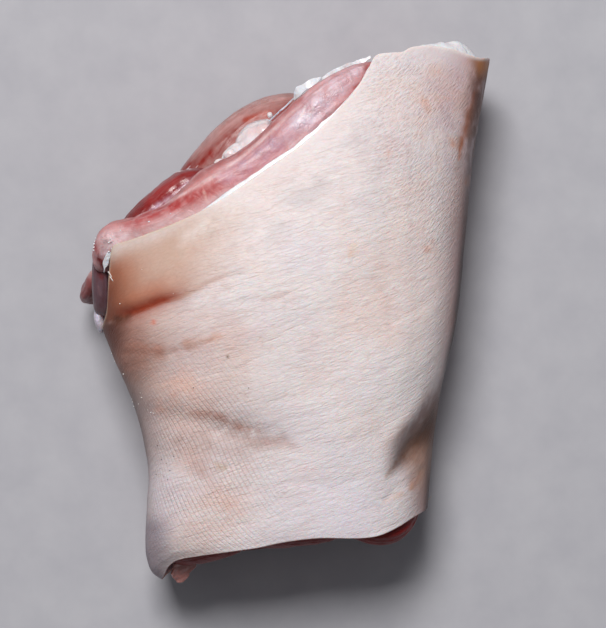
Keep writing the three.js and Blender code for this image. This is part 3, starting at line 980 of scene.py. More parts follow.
class RindPaint:
    """Paint of the skin, laid on in washes from broad to small.

    In the washes x and y are marks of the drawing, and gap and share are the distance from a line and the
    share of its run. A wash is a share of 0 to 1 with a display colour.
    """

    # Many washes below are painted shade: on the flanks and the waist, in the crease, folds and hollow, and
    # on the sawn rim.
    BASE = (240, 231, 230)
    PEACH = ((222, 506, 17, 0.4), (176, 385, 15, 0.4), (190, 410, 14, 0.35), (196, 462, 12, 0.3),
             (236, 345, 16, 0.2), (395, 300, 30, 0.15))

    def __init__(self, points: Array, angle: Array, along: Array, rim: Array, sawn: Array) -> None:
        """Args:
            points: places on the smooth skin.
            angle: angle round the leg.
            along: share of the length.
            rim: ring number on a rim, 0 on the skin.
            sawn: which points belong to the sawn end's rim.
        """
        self.along, self.rim, self.sawn = along, rim.astype(float), sawn
        self.places = marks(points)
        self.x, self.y = self.places.T
        self.paint = np.tile(linear(self.BASE), (len(points), 1))
        self.rise = np.sin(angle)
        self.upper = smooth(-0.2, 0.2, self.rise)
        band = smooth(-0.36, -0.02, self.rise)
        self.right, self.left = (band * smooth(0.0, 0.3 * side, np.cos(angle)) for side in (1, -1))
        self.blotch = cloud(points / 19.0, 3, 41)
        self.fine = cloud(points / 5.0, 3, 43)

    def wash(self, share: Array, colour: Sequence[float]) -> None:
        """Mixes a colour in by a share."""
        self.paint += (np.array(linear(colour)) - self.paint) * np.clip(share, 0, 1)[:, None]

    def colours(self) -> Array:
        """All washes in turn; scene-linear colours."""
        for layer in (self.edges, self.waist, self.patches, self.heel, self.bulge, self.crease, self.stains,
                      self.hollow, self.corner, self.pale_edge, self.rims):
            layer()
        return self.paint

    def edges(self) -> None:
        """Soft blotches, and the flanks: pinker, and darker with painted shade, where they turn from the
        light.
        """
        y, rise, upper = self.y, self.rise, self.upper
        right, blotch, wash = self.right, self.blotch, self.wash
        wash(0.35 * smooth(0.0, 0.6, blotch), (244, 222, 214))
        wash(0.35 * smooth(0.05, 0.6, -blotch), (228, 220, 228))
        # Painted shade: the flanks and the underside darker as they turn away from the light.
        wash(0.4 * smooth(0.62, 0.0, rise), (204, 168, 162))
        wash(0.5 * smooth(0.3, -0.5, rise), (214, 180, 170))
        # Painted shade down the right flank.
        wash(0.7 * smooth(0.7, 0.3, rise) * right * (1 - 0.8 * hump(y, 376, 22)), (162, 120, 116))
        wash(0.5 * smooth(0.86, 0.4, rise) * right * smooth(425, 445, y) * smooth(520, 480, y),
             (186, 142, 120))
        # Painted shade along the right edge, deepest where it turns most from the light.
        wash(0.75 * smooth(0.42, 0.16, rise) * right, (84, 54, 52))
        deep = 0.6 + 0.4 * np.clip(smooth(200, 150, y) + smooth(235, 265, y) * smooth(380, 345, y), 0, 1)
        wash(0.92 * smooth(0.4, 0.17, rise) * right * deep, (48, 27, 23))
        # Painted shade: the top a little greyer towards the slanting cut.
        wash(0.35 * smooth(240, 130, y) * upper, (226, 214, 214))

    def waist(self) -> None:
        """The waist on the left: painted shade along its edge under the bulge, over skin browner upwards."""
        y, rise, left, wash = self.y, self.rise, self.left, self.wash
        waist = left * smooth(310, 335, y)
        # Painted shade along the left edge, where the bulge above keeps off the light, over brown skin below
        # the crease.
        wash(0.55 * waist * smooth(480, 400, y) * smooth(0.84, 0.4, rise), (168, 136, 128))
        wash(0.75 * waist * smooth(485, 430, y) * smooth(0.55, 0.15, rise), (84, 66, 64))
        wash(0.97 * left * smooth(0.9, 0.42, rise) * smooth(316, 332, y) * smooth(425, 345, y), (98, 50, 34))
        wash(0.8 * left * smooth(0.36, 0.12, rise) * smooth(340, 400, y), (58, 42, 42))

    def patches(self) -> None:
        """Broad lighter and greyer patches over the middle, some of them painted shade and light."""
        x, y, upper, wash = self.x, self.y, self.upper, self.wash
        # Painted shade: the low left flank greyer, as its slope turns from the light.
        flank = smooth(322, 236, x) * smooth(372, 400, y) * smooth(474, 446, y) * upper
        wash(0.3 * flank, (186, 166, 164))
        wash(0.26 * smooth(262, 226, x) * smooth(296, 316, y) * smooth(410, 380, y) * upper, (212, 170, 152))
        wash(0.35 * hump(x, 236, 32) * hump(y, 524, 20) * upper, (248, 240, 240))
        # Painted light: a lighter patch on the right where the skin faces the light most.
        wash(0.5 * hump(x, 396, 40) * hump(y, 386, 20) * upper, (250, 244, 244))
        wash(0.6 * smooth(240, 310, x) * smooth(376, 350, x) * hump(y, 548, 11) * upper, (172, 152, 150))

    def heel(self) -> None:
        """Low on the leg: a lilac-white heel, a grey corner and peach patches."""
        x, y, upper, fine, wash = self.x, self.y, self.upper, self.fine, self.wash
        low = smooth(420, 500, y) * upper
        wash(0.5 * low * smooth(190, 330, x) * smooth(430, 340, x), (230, 225, 236))
        wash(0.25 * smooth(360, 420, y) * smooth(270, 170, x) * upper, (220, 194, 186))
        wash(0.6 * hump(x, 162, 16) * hump(y, 498, 26) * upper, (232, 226, 236))
        wash(0.75 * smooth(182, 152, x) * smooth(504, 530, y) * upper, (152, 141, 154))
        for across, down, spread, strength in self.PEACH:
            wash(strength * hump(np.hypot(x - across, y - down), 0, spread) * (0.8 + fine) * upper,
                 (240, 192, 172))

    def bulge(self) -> None:
        """The tan bulge over the crease, darker towards the crease and the left edge with painted shade."""
        x, y, places = self.x, self.y, self.places
        upper, blotch, fine, wash = self.upper, self.blotch, self.fine, self.wash
        gap, _ = CREASE.offset(places)
        above = smooth(2.0, -2.0, gap) * upper * (x < 300)
        tan = above * smooth(262, 165, x + 0.35 * (y - 260)) * smooth(-82, -54, gap)
        wash(0.9 * tan, (199, 165, 146))
        wash(0.5 * tan * smooth(0.0, 0.5, blotch + fine * 0.6) * smooth(210, 130, x), (198, 148, 122))
        # Painted shade with rust skin: the bulge darker where it turns down to the crease and to the left
        # edge.
        wash(0.7 * tan * hump(gap, -11.0, 9.0) * smooth(215, 150, x), (194, 128, 102))
        wash(0.5 * tan * hump(gap, -17.0, 7.0) * smooth(176, 150, x), (182, 118, 94))
        wash(0.92 * tan * smooth(144, 112, x) * smooth(-72, -44, gap), (164, 96, 68))
        wash(0.45 * tan * hump(x, 131, 12) * hump(gap, -36, 13), (176, 108, 76))
        wash(0.4 * tan * smooth(172, 130, x) * smooth(-58, -72, gap), (196, 172, 148))
        wash(0.6 * tan * smooth(122, 108, x) * smooth(-46, -30, gap), (128, 70, 50))

    def crease(self) -> None:
        """The crease and the skin below it: painted shade in the crease and at the left edge, on brown skin.
        """
        x, y, places, upper, fine, wash = self.x, self.y, self.places, self.upper, self.fine, self.wash
        gap, share = CREASE.offset(places)
        near = smooth(16.0, 3.0, gap) * smooth(-3.0, 2.0, gap) * upper
        # Painted shade along the crease.
        wash(0.62 * near * smooth(0.85, 0.35, share) * smooth(0.1, 0.3, share), (172, 132, 122))
        # Brown skin at the left edge below the crease, deepened with painted shade.
        below = smooth(-1.0, 4.0, gap) * upper * smooth(395, 330, y) * (x < 260)
        wash(0.6 * below * smooth(210, 130, x), (200, 158, 146))
        wash(0.7 * below * smooth(158, 122, x), (172, 124, 110))
        wash(0.95 * below * smooth(134, 111, x), (100, 52, 36))
        # A rust band just above the crease: the skin's colour, with painted shade under the bulge.
        wash(0.97 * hump(gap, -4.4, np.where(gap < -4.4, 4.8, 3.8)) * smooth(0.74, 0.46, share)
             * smooth(0.1, 0.24, share) * upper * (0.85 + 0.3 * fine), (164, 56, 28))
        wash(0.4 * hump(gap, -1.0, 2.4) * smooth(0.5, 0.7, share) * smooth(1.05, 0.8, share) * upper,
             (190, 144, 126))

    def stains(self) -> None:
        """The small stains, and strokes of painted shade along the folds and hollows."""
        places, upper, fine, wash = self.places, self.upper, self.fine, self.wash
        for stroke in STAINS_AND_SHADE:
            wash(stroke.cover(places) * np.clip(0.85 + 1.2 * fine, 0.1, 1.3) * upper, stroke.colour)

    def hollow(self) -> None:
        """The hollow low on the right: painted shade in its depth and on its walls, over brown skin."""
        places, upper, fine, wash = self.places, self.upper, self.fine, self.wash
        gap, share = HOLLOW.offset(places)
        reach = smooth(1.1, 0.85, share) * upper
        wash(0.6 * hump(gap, -9.0, 8.0) * smooth(0.15, 0.5, share) * reach * (0.9 + 0.5 * fine),
             (176, 136, 124))
        wash(0.9 * hump(gap, 6.0, np.where(gap < 6, 6.0, 10.0)) * smooth(0.1, 0.4, share) * reach
             * (0.95 + 0.5 * fine), (108, 74, 56))
        wash(0.72 * hump(gap, 1.5, 5.0) * smooth(0.03, 0.26, share) * reach, (84, 52, 36))
        wash(0.5 * hump(gap, 20.0, 10.0) * reach * smooth(0.05, 0.4, share), (176, 144, 128))
        wash(0.8 * hump(gap, 7.0, 8.0) * smooth(0.4, 0.72, share) * reach, (86, 58, 44))
        wash(0.45 * hump(gap, -8.0, 6.0) * smooth(0.3, 0.6, share) * reach * smooth(-0.3, 0.3, fine),
             (150, 108, 96))

    def corner(self) -> None:
        """Mottling towards the wide end's right corner, and its scorched edge, darkened with painted shade.
        """
        x, y, upper, blotch, fine, wash = self.x, self.y, self.upper, self.blotch, self.fine, self.wash
        corner = smooth(370, 450, x) * smooth(240, 120, y) * upper
        wash(0.36 * smooth(408, 440, x) * smooth(140, 100, y) * upper, (208, 160, 152))
        wash(0.4 * corner * smooth(-0.1, 0.5, fine + 0.4 * blotch), (228, 190, 174))
        wash(0.45 * corner * smooth(0.0, 0.6, -fine), (206, 186, 194))
        # Scorched skin along the right edge, darkened further with painted shade where it turns from the
        # light.
        edge = smooth(464, 486, x + 0.16 * (y - 70) + 5 * fine) * smooth(200, 120, y) * upper
        wash(0.92 * edge * smooth(-0.7, 0.3, fine), (98, 58, 44))
        wash(0.85 * smooth(470, 482, x) * smooth(84, 66, y) * upper, (190, 126, 74))

    def pale_edge(self) -> None:
        """The pale skin along the top edge."""
        x, y, upper, wash = self.x, self.y, self.upper, self.wash
        depth = y - 48 - 0.5 * np.maximum(0, 400 - x)
        pale = smooth(30, 5, depth) * smooth(470, 440, x) * smooth(340, 372, x)
        wash(0.6 * pale * upper, (236, 229, 232))

    def rims(self) -> None:
        """The cut rims: white fat, glassy on the left, and meat inside; the sawn rim darker as painted shade.
        """
        x, upper, along, rim, sawn, wash = self.x, self.upper, self.along, self.rim, self.sawn, self.wash
        cut = smooth(0.0, 2.0, rim) * ~sawn
        glassy = smooth(235, 165, x) * upper
        wash(cut, (246, 238, 236))
        wash(cut * glassy, (206, 184, 162))
        last = smooth(0.99, 1.0, along) * ~sawn * upper
        wash(0.8 * last * (1 - glassy), (240, 230, 228))
        wash(0.45 * last * glassy, (206, 184, 160))
        # Painted shade: the sawn end's rim darker than the rim of the slanting cut.
        wash(smooth(0.0, 2.0, rim) * sawn, (196, 150, 140))
        wash(smooth(4.5, 7.0, rim), (140, 58, 54))


@dataclass
class Rind:
    """The skin of the whole leg with the two rims where it is cut, as one closed piece."""

    leg: Leg
    columns: int = 300
    rows_along: int = 296
    upper_share: float = 0.7
    half_width: float = 60.0
    core_height: float = 38.0
    cut_rings: tuple[tuple[float, float], ...] = (
        (0.998, -0.15), (0.992, -0.28), (0.984, -0.25), (0.977, 0.0), (0.972, 0.7), (0.968, 2.2),
        (0.965, 5.0), (0.955, 8.5), (0.92, 10.5), (0.78, 11.0), (0.5, 11.5), (0.15, 12.0))
    sawn_rings: tuple[tuple[float, float], ...] = (
        (0.998, -0.2), (0.991, -0.35), (0.982, -0.2), (0.975, 0.4), (0.97, 1.8), (0.96, 4.0), (0.92, 5.5),
        (0.78, 6.0), (0.5, 6.0), (0.15, 6.0))

    def angles(self) -> Array:
        """Angles of the columns, closer together over the upper half.

        Returns:
            The angles, one more than there are columns.
        """
        fine = np.linspace(-math.pi / 2, 1.5 * math.pi, 4001)
        share, height = self.leg.section(fine, np.full(fine.shape, 0.5))
        places = np.column_stack([share * self.half_width, height])
        steps = np.linalg.norm(np.diff(places, axis=0), axis=1)
        middle = (fine[1:] + fine[:-1]) / 2
        weight = np.where(np.sin(middle) > -0.25, self.upper_share, 1.0 - self.upper_share)
        run = np.concatenate([[0.0], np.cumsum(steps * weight)])
        return np.interp(np.linspace(0, run[-1], self.columns + 1), run, fine)

    def build(self, material: Material) -> Object:
        """Wraps a flat grid round the leg, closes it and adds its wrinkles.

        Args:
            material: its finish.

        Returns:
            The skin.
        """
        sawn = list(reversed(self.sawn_rings))
        rows = len(sawn) + self.rows_along + len(self.cut_rings)
        piece = added("rind", bpy.ops.mesh.primitive_grid_add, x_subdivisions=self.columns,
                      y_subdivisions=rows - 1, size=1.0)
        flat = corners(piece)
        column = np.rint((flat[:, 0] + 0.5) * self.columns).astype(int)
        row = np.rint((flat[:, 1] + 0.5) * (rows - 1)).astype(int)
        angle = self.angles()[column]
        along = np.clip((row - len(sawn)) / (self.rows_along - 1), 0.0, 1.0)
        points = self.leg.skin(angle, along)
        rims = ((sawn, End.SAWN, 0), (self.cut_rings, End.CUT, len(sawn) + self.rows_along))
        for rings, end, first in rims:
            for step, (share, depth) in enumerate(rings):
                here = row == first + step
                shallow = 1 - 0.8 * smooth(0.8, 0.99, np.cos(angle[here])) * (end is End.CUT and depth > 0)
                points[here] = self.leg.rim(end, angle[here], np.full(here.sum(), share), depth * shallow)
        wrap = self.wrapped(points, row, column)
        unwrap(piece, wrap[:, 0], wrap[:, 1])
        outer = (row >= len(sawn)) & (row < len(sawn) + self.rows_along)
        rim = np.where(row >= len(sawn) + self.rows_along, row - len(sawn) - self.rows_along + 1,
                       np.where(row < len(sawn), len(sawn) - row, 0))
        move_corners(piece, to_frame(self.wrinkled(points, wrap, angle, along, outer)))
        tint(piece, RindPaint(points, angle, along, rim, row < len(sawn)).colours())
        mask(piece, "hatch", self.hatch(points, angle))
        mask(piece, "lined", self.lined(points, along))
        mask(piece, "pebbled", self.pebbled(points))
        with editing(piece):
            bpy.ops.mesh.remove_doubles(threshold=1e-6)
            bpy.ops.mesh.select_all(action="DESELECT")
            bpy.ops.mesh.select_non_manifold()
            bpy.ops.mesh.edge_face_add()
        return finished(piece, "hock", material)

    def wrapped(self, points: Array, row: Array, column: Array) -> Array:
        """Distances round and along the skin, sheared as its wrinkles run.

        Args:
            points: places on the smooth skin.
            row: the grid row of each.
            column: the grid column of each.

        Returns:
            The two distances of each point, in millimetres.
        """
        grid = np.empty((row.max() + 1, self.columns + 1, 3))
        grid[row, column] = points
        steps = np.hypot(np.diff(grid[..., 0], axis=1), np.diff(grid[..., 2], axis=1))
        around = np.concatenate([np.zeros((len(grid), 1)), np.cumsum(steps, axis=1)], axis=1)
        around = (around[:, [self.columns // 2]] - around)[row, column]
        reach = np.linspace(-200, 200, 801)
        slope = 0.3 + 0.42 * smooth(28, 66, reach) + 0.12 * smooth(-30, -70, reach)
        climb = np.cumsum(slope) * (reach[1] - reach[0])
        return np.column_stack([around, points[:, 1] - np.interp(around, reach, climb)])

    def wrinkled(self, points: Array, wrap: Array, angle: Array, along: Array, outer: Array) -> Array:
        """The skin's points pushed in and out by its folds and wrinkles.

        Args:
            points: places on the smooth skin.
            wrap: distance round and along the skin, in millimetres.
            angle: angle round the leg.
            along: share of the length.
            outer: which points are outside the rims.

        Returns:
            The new places.
        """
        places = marks(points)
        upper = smooth(-0.05, 0.35, np.sin(angle))
        waves = grain(wrap * [0.045, 0.2], 3) * 0.16
        lines = (1 - np.abs(grain(wrap * [0.07, 0.36] + grain(wrap * 0.08, 9)[:, None] * [0.0, 0.9], 5)) * 2)
        soft = cloud(points / 30.0, 2, 21) * 0.7
        push = waves * 0.7 + lines * 0.03 + soft * smooth(0.0, 0.12, along) * smooth(1.0, 0.86, along)
        gap, share = CREASE.offset(places)
        reach = smooth(0.7, 0.42, share) * smooth(0.04, 0.32, share) * (np.abs(gap) < 60)
        fold = 0.9 * hump(gap, -15.0, 6.5) - 1.35 * hump(gap, -1.0, np.where(gap < -1.0, 5.5, 4.6))
        push += fold * reach * upper
        push -= 0.12 * hump(gap, 0.0, 3.0) * smooth(0.45, 0.7, share) * smooth(1.0, 0.85, share) * upper
        gap, share = HOLLOW.offset(places)
        reach = smooth(0.08, 0.5, share) * smooth(1.1, 0.8, share)
        push += (0.7 * hump(gap, -19, 6) - 2.2 * hump(gap, 2.0, np.where(gap < 2, 9.0, 12.0))) * reach * upper
        for stroke, depth in FOLDS:
            push -= depth * stroke.cover(places) * upper
        push = push * outer * smooth(-0.95, -0.6, np.sin(angle))
        middle = self.leg.crossing(along)[0]
        core = np.column_stack([middle, np.full(len(points), self.core_height)])
        return points + unit(points - core) * push[:, None]

    @staticmethod
    def hatch(points: Array, angle: Array) -> Array:
        """How strong the wrinkles along the leg are: strong low on the left, weak elsewhere.

        Args:
            points: places on the smooth skin.
            angle: angle round the leg.

        Returns:
            A strength of 0 to 1 for each point.
        """
        x, y = marks(points).T
        patch = smooth(300, 205, x - 0.25 * (y - 430)) * smooth(322, 372, y) * smooth(590, 545, y)
        patch = patch * (0.5 + 0.5 * smooth(378, 412, y)) * (1 - 0.4 * smooth(498, 526, y))
        patch = patch * smooth(-0.5, 0.1, np.sin(angle)) * (0.75 + 0.8 * cloud(points / 11.0, 2, 31))
        return np.clip(patch, 0.0, 1.0)

    @staticmethod
    def lined(points: Array, along: Array) -> Array:
        """How strong the long wrinkles are: faint on the tan bulge over the crease and along the wide rim.

        Args:
            points: places on the smooth skin.
            along: share of the length.

        Returns:
            A strength of 0 to 1 for each point.
        """
        x, y = marks(points).T
        bulge = smooth(216, 172, x) * smooth(318, 300, y + 0.35 * (x - 130)) * smooth(160, 200, y)
        corner = 0.85 * smooth(370, 440, x) * smooth(230, 130, y)
        return 1.0 - 0.88 * np.clip(bulge + corner + smooth(0.955, 0.99, along), 0.0, 1.0)

    @staticmethod
    def pebbled(points: Array) -> Array:
        """How strong the short pebbles of the skin are: strong towards the wide end's right corner.

        Args:
            points: places on the smooth skin.

        Returns:
            A strength of about 0 to 1 for each point.
        """
        x, y = marks(points).T
        corner = smooth(350, 440, x + 0.3 * (200 - y)) * smooth(330, 190, y)
        corner = corner * smooth(44, 66, y - 0.2 * (x - 400))
        return 0.18 + 0.82 * corner * (0.85 + 0.3 * cloud(points / 12.0, 2, 37))


# ---- Flesh, fat and gristle ----


@dataclass
class Muscle:
    """A bulging body swept along a path, with its fibres along the path."""

    name: str
    path: Array
    high: float
    thick: float
    square: float = 2.2
    lumps: float = 0.5
    seed: int = 1
    segments: int = 96
    rings: int = 96
    taper: float = 0.36
    swell: Profile | None = None
    grooves: tuple[tuple[float, float, float], ...] = ()
    colour: tuple[float, float, float] = (170, 90, 88)
    strokes: tuple[Stroke, ...] = ()
    mottle: tuple[tuple[float, float, float], float] = ((214, 170, 168), 0.3)
    wet: tuple[Stroke, ...] = ()

    def build(self, material: Material, slot: str = "flesh", node: str = "hock") -> Object:
        """Models the body from a ball whose poles go to the ends of the path.

        Args:
            material: its finish.
            slot: not used.
            node: the solid that it stands for.

        Returns:
            The body.
        """
        piece = added(self.name, bpy.ops.mesh.primitive_uv_sphere_add, segments=self.segments,
                      ring_count=self.rings, radius=1.0)
        ball = corners(piece)
        share = (1.0 - ball[:, 2]) / 2.0
        turn = np.arctan2(ball[:, 1], ball[:, 0])
        radius = np.maximum(1.0 - ball[:, 2] ** 2, 1e-9) ** (0.5 * (1 - self.taper))
        if self.swell is not None:
            radius = radius * self.swell(share)
        curve = Curve(self.path)
        run = curve.heading(share)
        out = unit(np.cross(run, UP))
        up = np.cross(out, run)
        power = 2.0 / self.square
        across, rise = squared(np.cos(turn), power), squared(np.sin(turn), power)
        middle = curve.at(share)
        offset = out * (across * self.thick * radius)[:, None] + up * (rise * self.high * radius)[:, None]
        points = middle + offset
        wrap = np.column_stack([turn * (self.high + self.thick) / 2, share * curve.length])
        ridges = grain(wrap * [0.35, 0.03], self.seed) * 0.35
        ridges = ridges + grain(wrap * [0.9, 0.06], self.seed + 3) * 0.14
        push = self.lumps * cloud(points / 7.0, 3, self.seed + 11) + ridges * min(self.lumps * 2, 1.0)
        for angle, width, depth in self.grooves:
            push = push - depth * hump(turn, math.radians(angle), math.radians(width))
        points = points + unit(offset) * (push * np.minimum(radius * 2, 1))[:, None]
        move_corners(piece, to_frame(points))
        unwrap(piece, wrap[:, 0], wrap[:, 1], math.tau * (self.high + self.thick) / 2)
        tint(piece, self.colours(points))
        places = marks(points)
        mask(piece, "wet", np.clip(sum((stroke.cover(places) for stroke in self.wet), 0 * share), 0, 1))
        return finished(piece, node, material)

    def colours(self, points: Array) -> Array:
        """Paint of the body: its own colour, mottled, with its strokes over it.

        Args:
            points: places on the body.

        Returns:
            Scene-linear colours of the points.
        """
        paint = np.tile(linear(self.colour), (len(points), 1))
        shade, share = self.mottle
        layers = [(share * smooth(0.0, 0.5, cloud(points / 6.0, 3, self.seed + 29)), shade)]
        places = marks(points)
        patchy = np.clip(0.9 + 0.9 * cloud(points / 2.6, 3, self.seed + 41), 0.15, 1.2)
        layers += [(stroke.cover(places) * patchy, stroke.colour) for stroke in self.strokes]
        for share, shade in layers:
            paint += (np.array(linear(shade)) - paint) * np.clip(share, 0, 1)[:, None]
        return paint


@dataclass
class Ribbon:
    """A thin sheet of tissue along a path, with its own width profile and a waved edge."""

    name: str
    path: Array
    widths: Profile
    side: tuple[float, float, float]
    thick: float = 0.7
    wave: float = 0.5
    seed: int = 5
    colour: tuple[float, float, float] = (238, 228, 226)
    steps: tuple[int, int] = (60, 14)

    def build(self, material: Material, slot: str = "fat", node: str = "hock") -> Object:
        """Models the sheet from a grid that gets its thickness from a modifier.

        Args:
            material: its finish.
            slot: not used.
            node: the solid that it stands for.

        Returns:
            The sheet.
        """
        piece = added(self.name, bpy.ops.mesh.primitive_grid_add, x_subdivisions=self.steps[0],
                      y_subdivisions=self.steps[1], size=1.0)
        flat = corners(piece)
        share, width = flat[:, 0] + 0.5, flat[:, 1] * 2.0
        curve = Curve(self.path)
        side = unit(np.array([self.side]))
        over = unit(np.cross(curve.heading(share), side))
        points = curve.at(share) + side * (width * self.widths(share))[:, None]
        points = points + over * (self.wave * cloud(points / 4.0, 3, self.seed))[:, None]
        points = points + side * (self.wave * width * grain(points / 2.2, self.seed + 2))[:, None]
        move_corners(piece, to_frame(points))
        unwrap(piece, width * 5.0, share * curve.length)
        tint(piece, np.tile(linear(self.colour), (len(points), 1)))
        only(piece)
        solid = piece.modifiers.new("body", "SOLIDIFY")
        solid.thickness = self.thick * MM
        solid.offset = 0.0
        bpy.ops.object.modifier_apply(modifier="body")
        soft = piece.modifiers.new("soften", "SUBSURF")
        soft.levels = soft.render_levels = 1
        bpy.ops.object.modifier_apply(modifier="soften")
        return finished(piece, node, material)


@dataclass
class FatRing:
    """The ragged band of white fat inside the rind's rim."""

    leg: Leg
    name: str
    end: End
    inset: float
    width: Callable[[Array], Array]
    lift: Callable[[Array], Array]
    depth: float = 4.0
    ragged: float = 0.5
    seed: int = 61
    colour: tuple[float, float, float] = (240, 236, 238)
    blush: tuple[float, float, float] = (222, 184, 184)
    steps: tuple[int, int] = (420, 26)
    reach: float = 62.0

    def build(self, material: Material) -> Object:
        """Models the band from a ring laid along the rim.

        Args:
            material: its finish.

        Returns:
            The band.
        """
        piece = added(self.name, bpy.ops.mesh.primitive_torus_add, major_segments=self.steps[0],
                      minor_segments=self.steps[1], major_radius=1.0, minor_radius=0.3)
        ring = corners(piece)
        angle = np.arctan2(ring[:, 1], ring[:, 0])
        turn = np.arctan2(ring[:, 2], np.hypot(ring[:, 0], ring[:, 1]) - 1.0)
        width = self.width(angle)
        inward = self.inset + width * (1 - np.cos(turn)) / 2
        share = 1.0 - inward / self.reach
        depth = self.depth / 2 - np.sin(turn) * (self.depth / 2 + self.lift(angle) / 2) - self.lift(angle) / 2
        points = self.leg.rim(self.end, angle, share, depth)
        rough = self.ragged * cloud(points / 3.2, 3, self.seed) * np.maximum(np.sin(turn), 0)
        points = self.leg.rim(self.end, angle, share, depth - rough)
        move_corners(piece, to_frame(points))
        unwrap(piece, turn * 3.0, angle * 60.0)
        white, blush = np.array(linear(self.colour)), np.array(linear(self.blush))
        share = smooth(0.3, 0.9, (1 - np.cos(turn)) / 2 + 0.25 * cloud(points / 4.0, 2, self.seed + 5))
        tint(piece, white + (blush - white) * share[:, None])
        return finished(piece, "hock", material)


# Colours of the lip, with painted sheen and glints on its wet patches.
LIP_STROKES_AND_GLINTS = strokes(
    (((112, 242), (140, 236), (165, 226), (195, 212), (225, 196), (252, 178), (280, 159), (310, 139),
      (335, 115)), 6.5, (216, 186, 188), 0.9, 0.3),
    (((166, 209), (200, 195), (232, 179), (262, 161), (284, 148)), 5.4, (192, 80, 78), 1.0),
    (((126, 225), (136, 220), (150, 214), (165, 207), (195, 194), (215, 186)), 5.0, (184, 78, 78), 0.95),
    (((226, 176), (262, 153), (290, 130), (318, 106), (348, 82)), 10.0, (206, 174, 190), 0.8, 0.4),
    # Pale membrane on the wet patches, with painted sheen.
    (((292, 124), (310, 113), (330, 97)), 9.0, (222, 206, 218), 0.9),
    (((322, 94), (338, 86), (350, 79), (362, 71)), 8.0, (228, 210, 220), 0.95),
    (((178, 192), (205, 170), (222, 161), (242, 153), (262, 136), (282, 117), (300, 100)), 4.4,
     (184, 112, 110), 0.85, 0.3),
    (((160, 206), (180, 196), (200, 185), (230, 166), (262, 140), (290, 114), (302, 105)), 1.3,
     (240, 214, 214), 0.75, 0.4),
    (((240, 170), (256, 158), (270, 148)), 1.2, (240, 214, 218), 0.5),
    (((318, 132), (342, 108), (357, 88), (367, 70), (372, 58)), 3.6, (186, 106, 104), 0.9, 0.3),
    (((93, 250), (95, 238), (104, 228), (118, 223), (132, 222)), 3.6, (196, 122, 120), 0.8, 0.3),
    (((98, 256), (102, 246), (110, 240), (122, 236)), 8.0, (232, 206, 210), 0.95, 0.3),
    (((92, 252), (91.5, 244), (94, 236)), 1.5, (250, 244, 246), 0.8, 0.3),
    (((94, 242), (95.5, 248), (98, 254)), 2.0, (176, 66, 66), 0.8, 0.3),
    (((95, 256), (100, 260), (104, 267)), 3.0, (116, 34, 36), 0.95, 0.3),
    (((203, 189), (205, 195), (206, 201)), 0.9, (240, 206, 196), 0.6),
    # Painted glints on the wet patch.
    (((298, 121), (303, 114), (305, 106)), 1.1, (252, 246, 250), 0.8),
    (((306, 119), (311, 113), (314, 107)), 0.9, (252, 246, 250), 0.7),
    (((313, 94), (320, 90), (326, 84)), 1.0, (248, 238, 244), 0.6),
)
LIP_WET = (
    Stroke(((298, 126), (308, 115), (322, 103), (334, 94)), 7.0),
    Stroke(((336, 90), (350, 79), (363, 68)), 6.0),
    Stroke(((258, 152), (276, 138)), 3.5, strength=0.7),
    Stroke(((104, 236), (112, 242)), 3.0),
    Stroke(((106, 255), (113, 259)), 3.0),
)
ROLL_STROKES = strokes(
    (((186, 158), (205, 141), (230, 121), (255, 106), (282, 98)), 7.0, (206, 164, 160), 0.8),
    (((186, 168), (203, 160), (219, 149), (230, 138), (248, 128), (270, 118), (288, 108)), 5.5,
     (146, 46, 38), 0.97, 0.2),
    (((244, 120), (258, 117), (272, 112)), 3.5, (176, 76, 58), 0.8),
)
ROLL_WET = (Stroke(((246, 110), (262, 102), (280, 99)), 2.4, strength=0.8),)
DARK_STROKES = strokes(
    (((150, 199), (162, 189), (174, 180)), 6.0, (164, 44, 42), 0.9),
    (((148, 213), (160, 205), (174, 197), (190, 183), (206, 172)), 2.4, (208, 178, 196), 0.9),
    (((160, 205), (180, 191), (200, 179)), 0.8, (240, 222, 230), 0.7),
    (((127, 220), (136, 212), (142, 204)), 4.0, (120, 42, 42), 0.7),
)
DARK_WET = (Stroke(((150, 210), (168, 198), (190, 182)), 5.0, strength=0.8),)
SIDE_STROKES = strokes(
    (((97, 257), (101, 266), (102, 278)), 4.0, (112, 42, 44), 0.85),
    (((98, 286), (101, 296)), 1.2, (150, 124, 130), 0.5),
)
NUB_STROKES = strokes(
    (((86, 276), (92, 271)), 3.0, (216, 184, 180), 0.8),
    (((86, 297), (90, 291), (92, 300)), 4.0, (138, 58, 54), 0.8),
    (((90, 303), (96, 312)), 4.0, (160, 136, 146), 0.8),
)
FAT_WHITE = (236, 238, 242)


@dataclass
class Face:
    """A cut face of the leg, whose pieces lie along paths on it."""

    leg: Leg
    end: End

    def path(self, *points: tuple[float, float, float]) -> Array:
        """A path given as across, height and lift from the face's middle."""
        across, height, lift = (np.array(column) for column in zip(*points))
        return self.leg.face(self.end, across, height, lift)


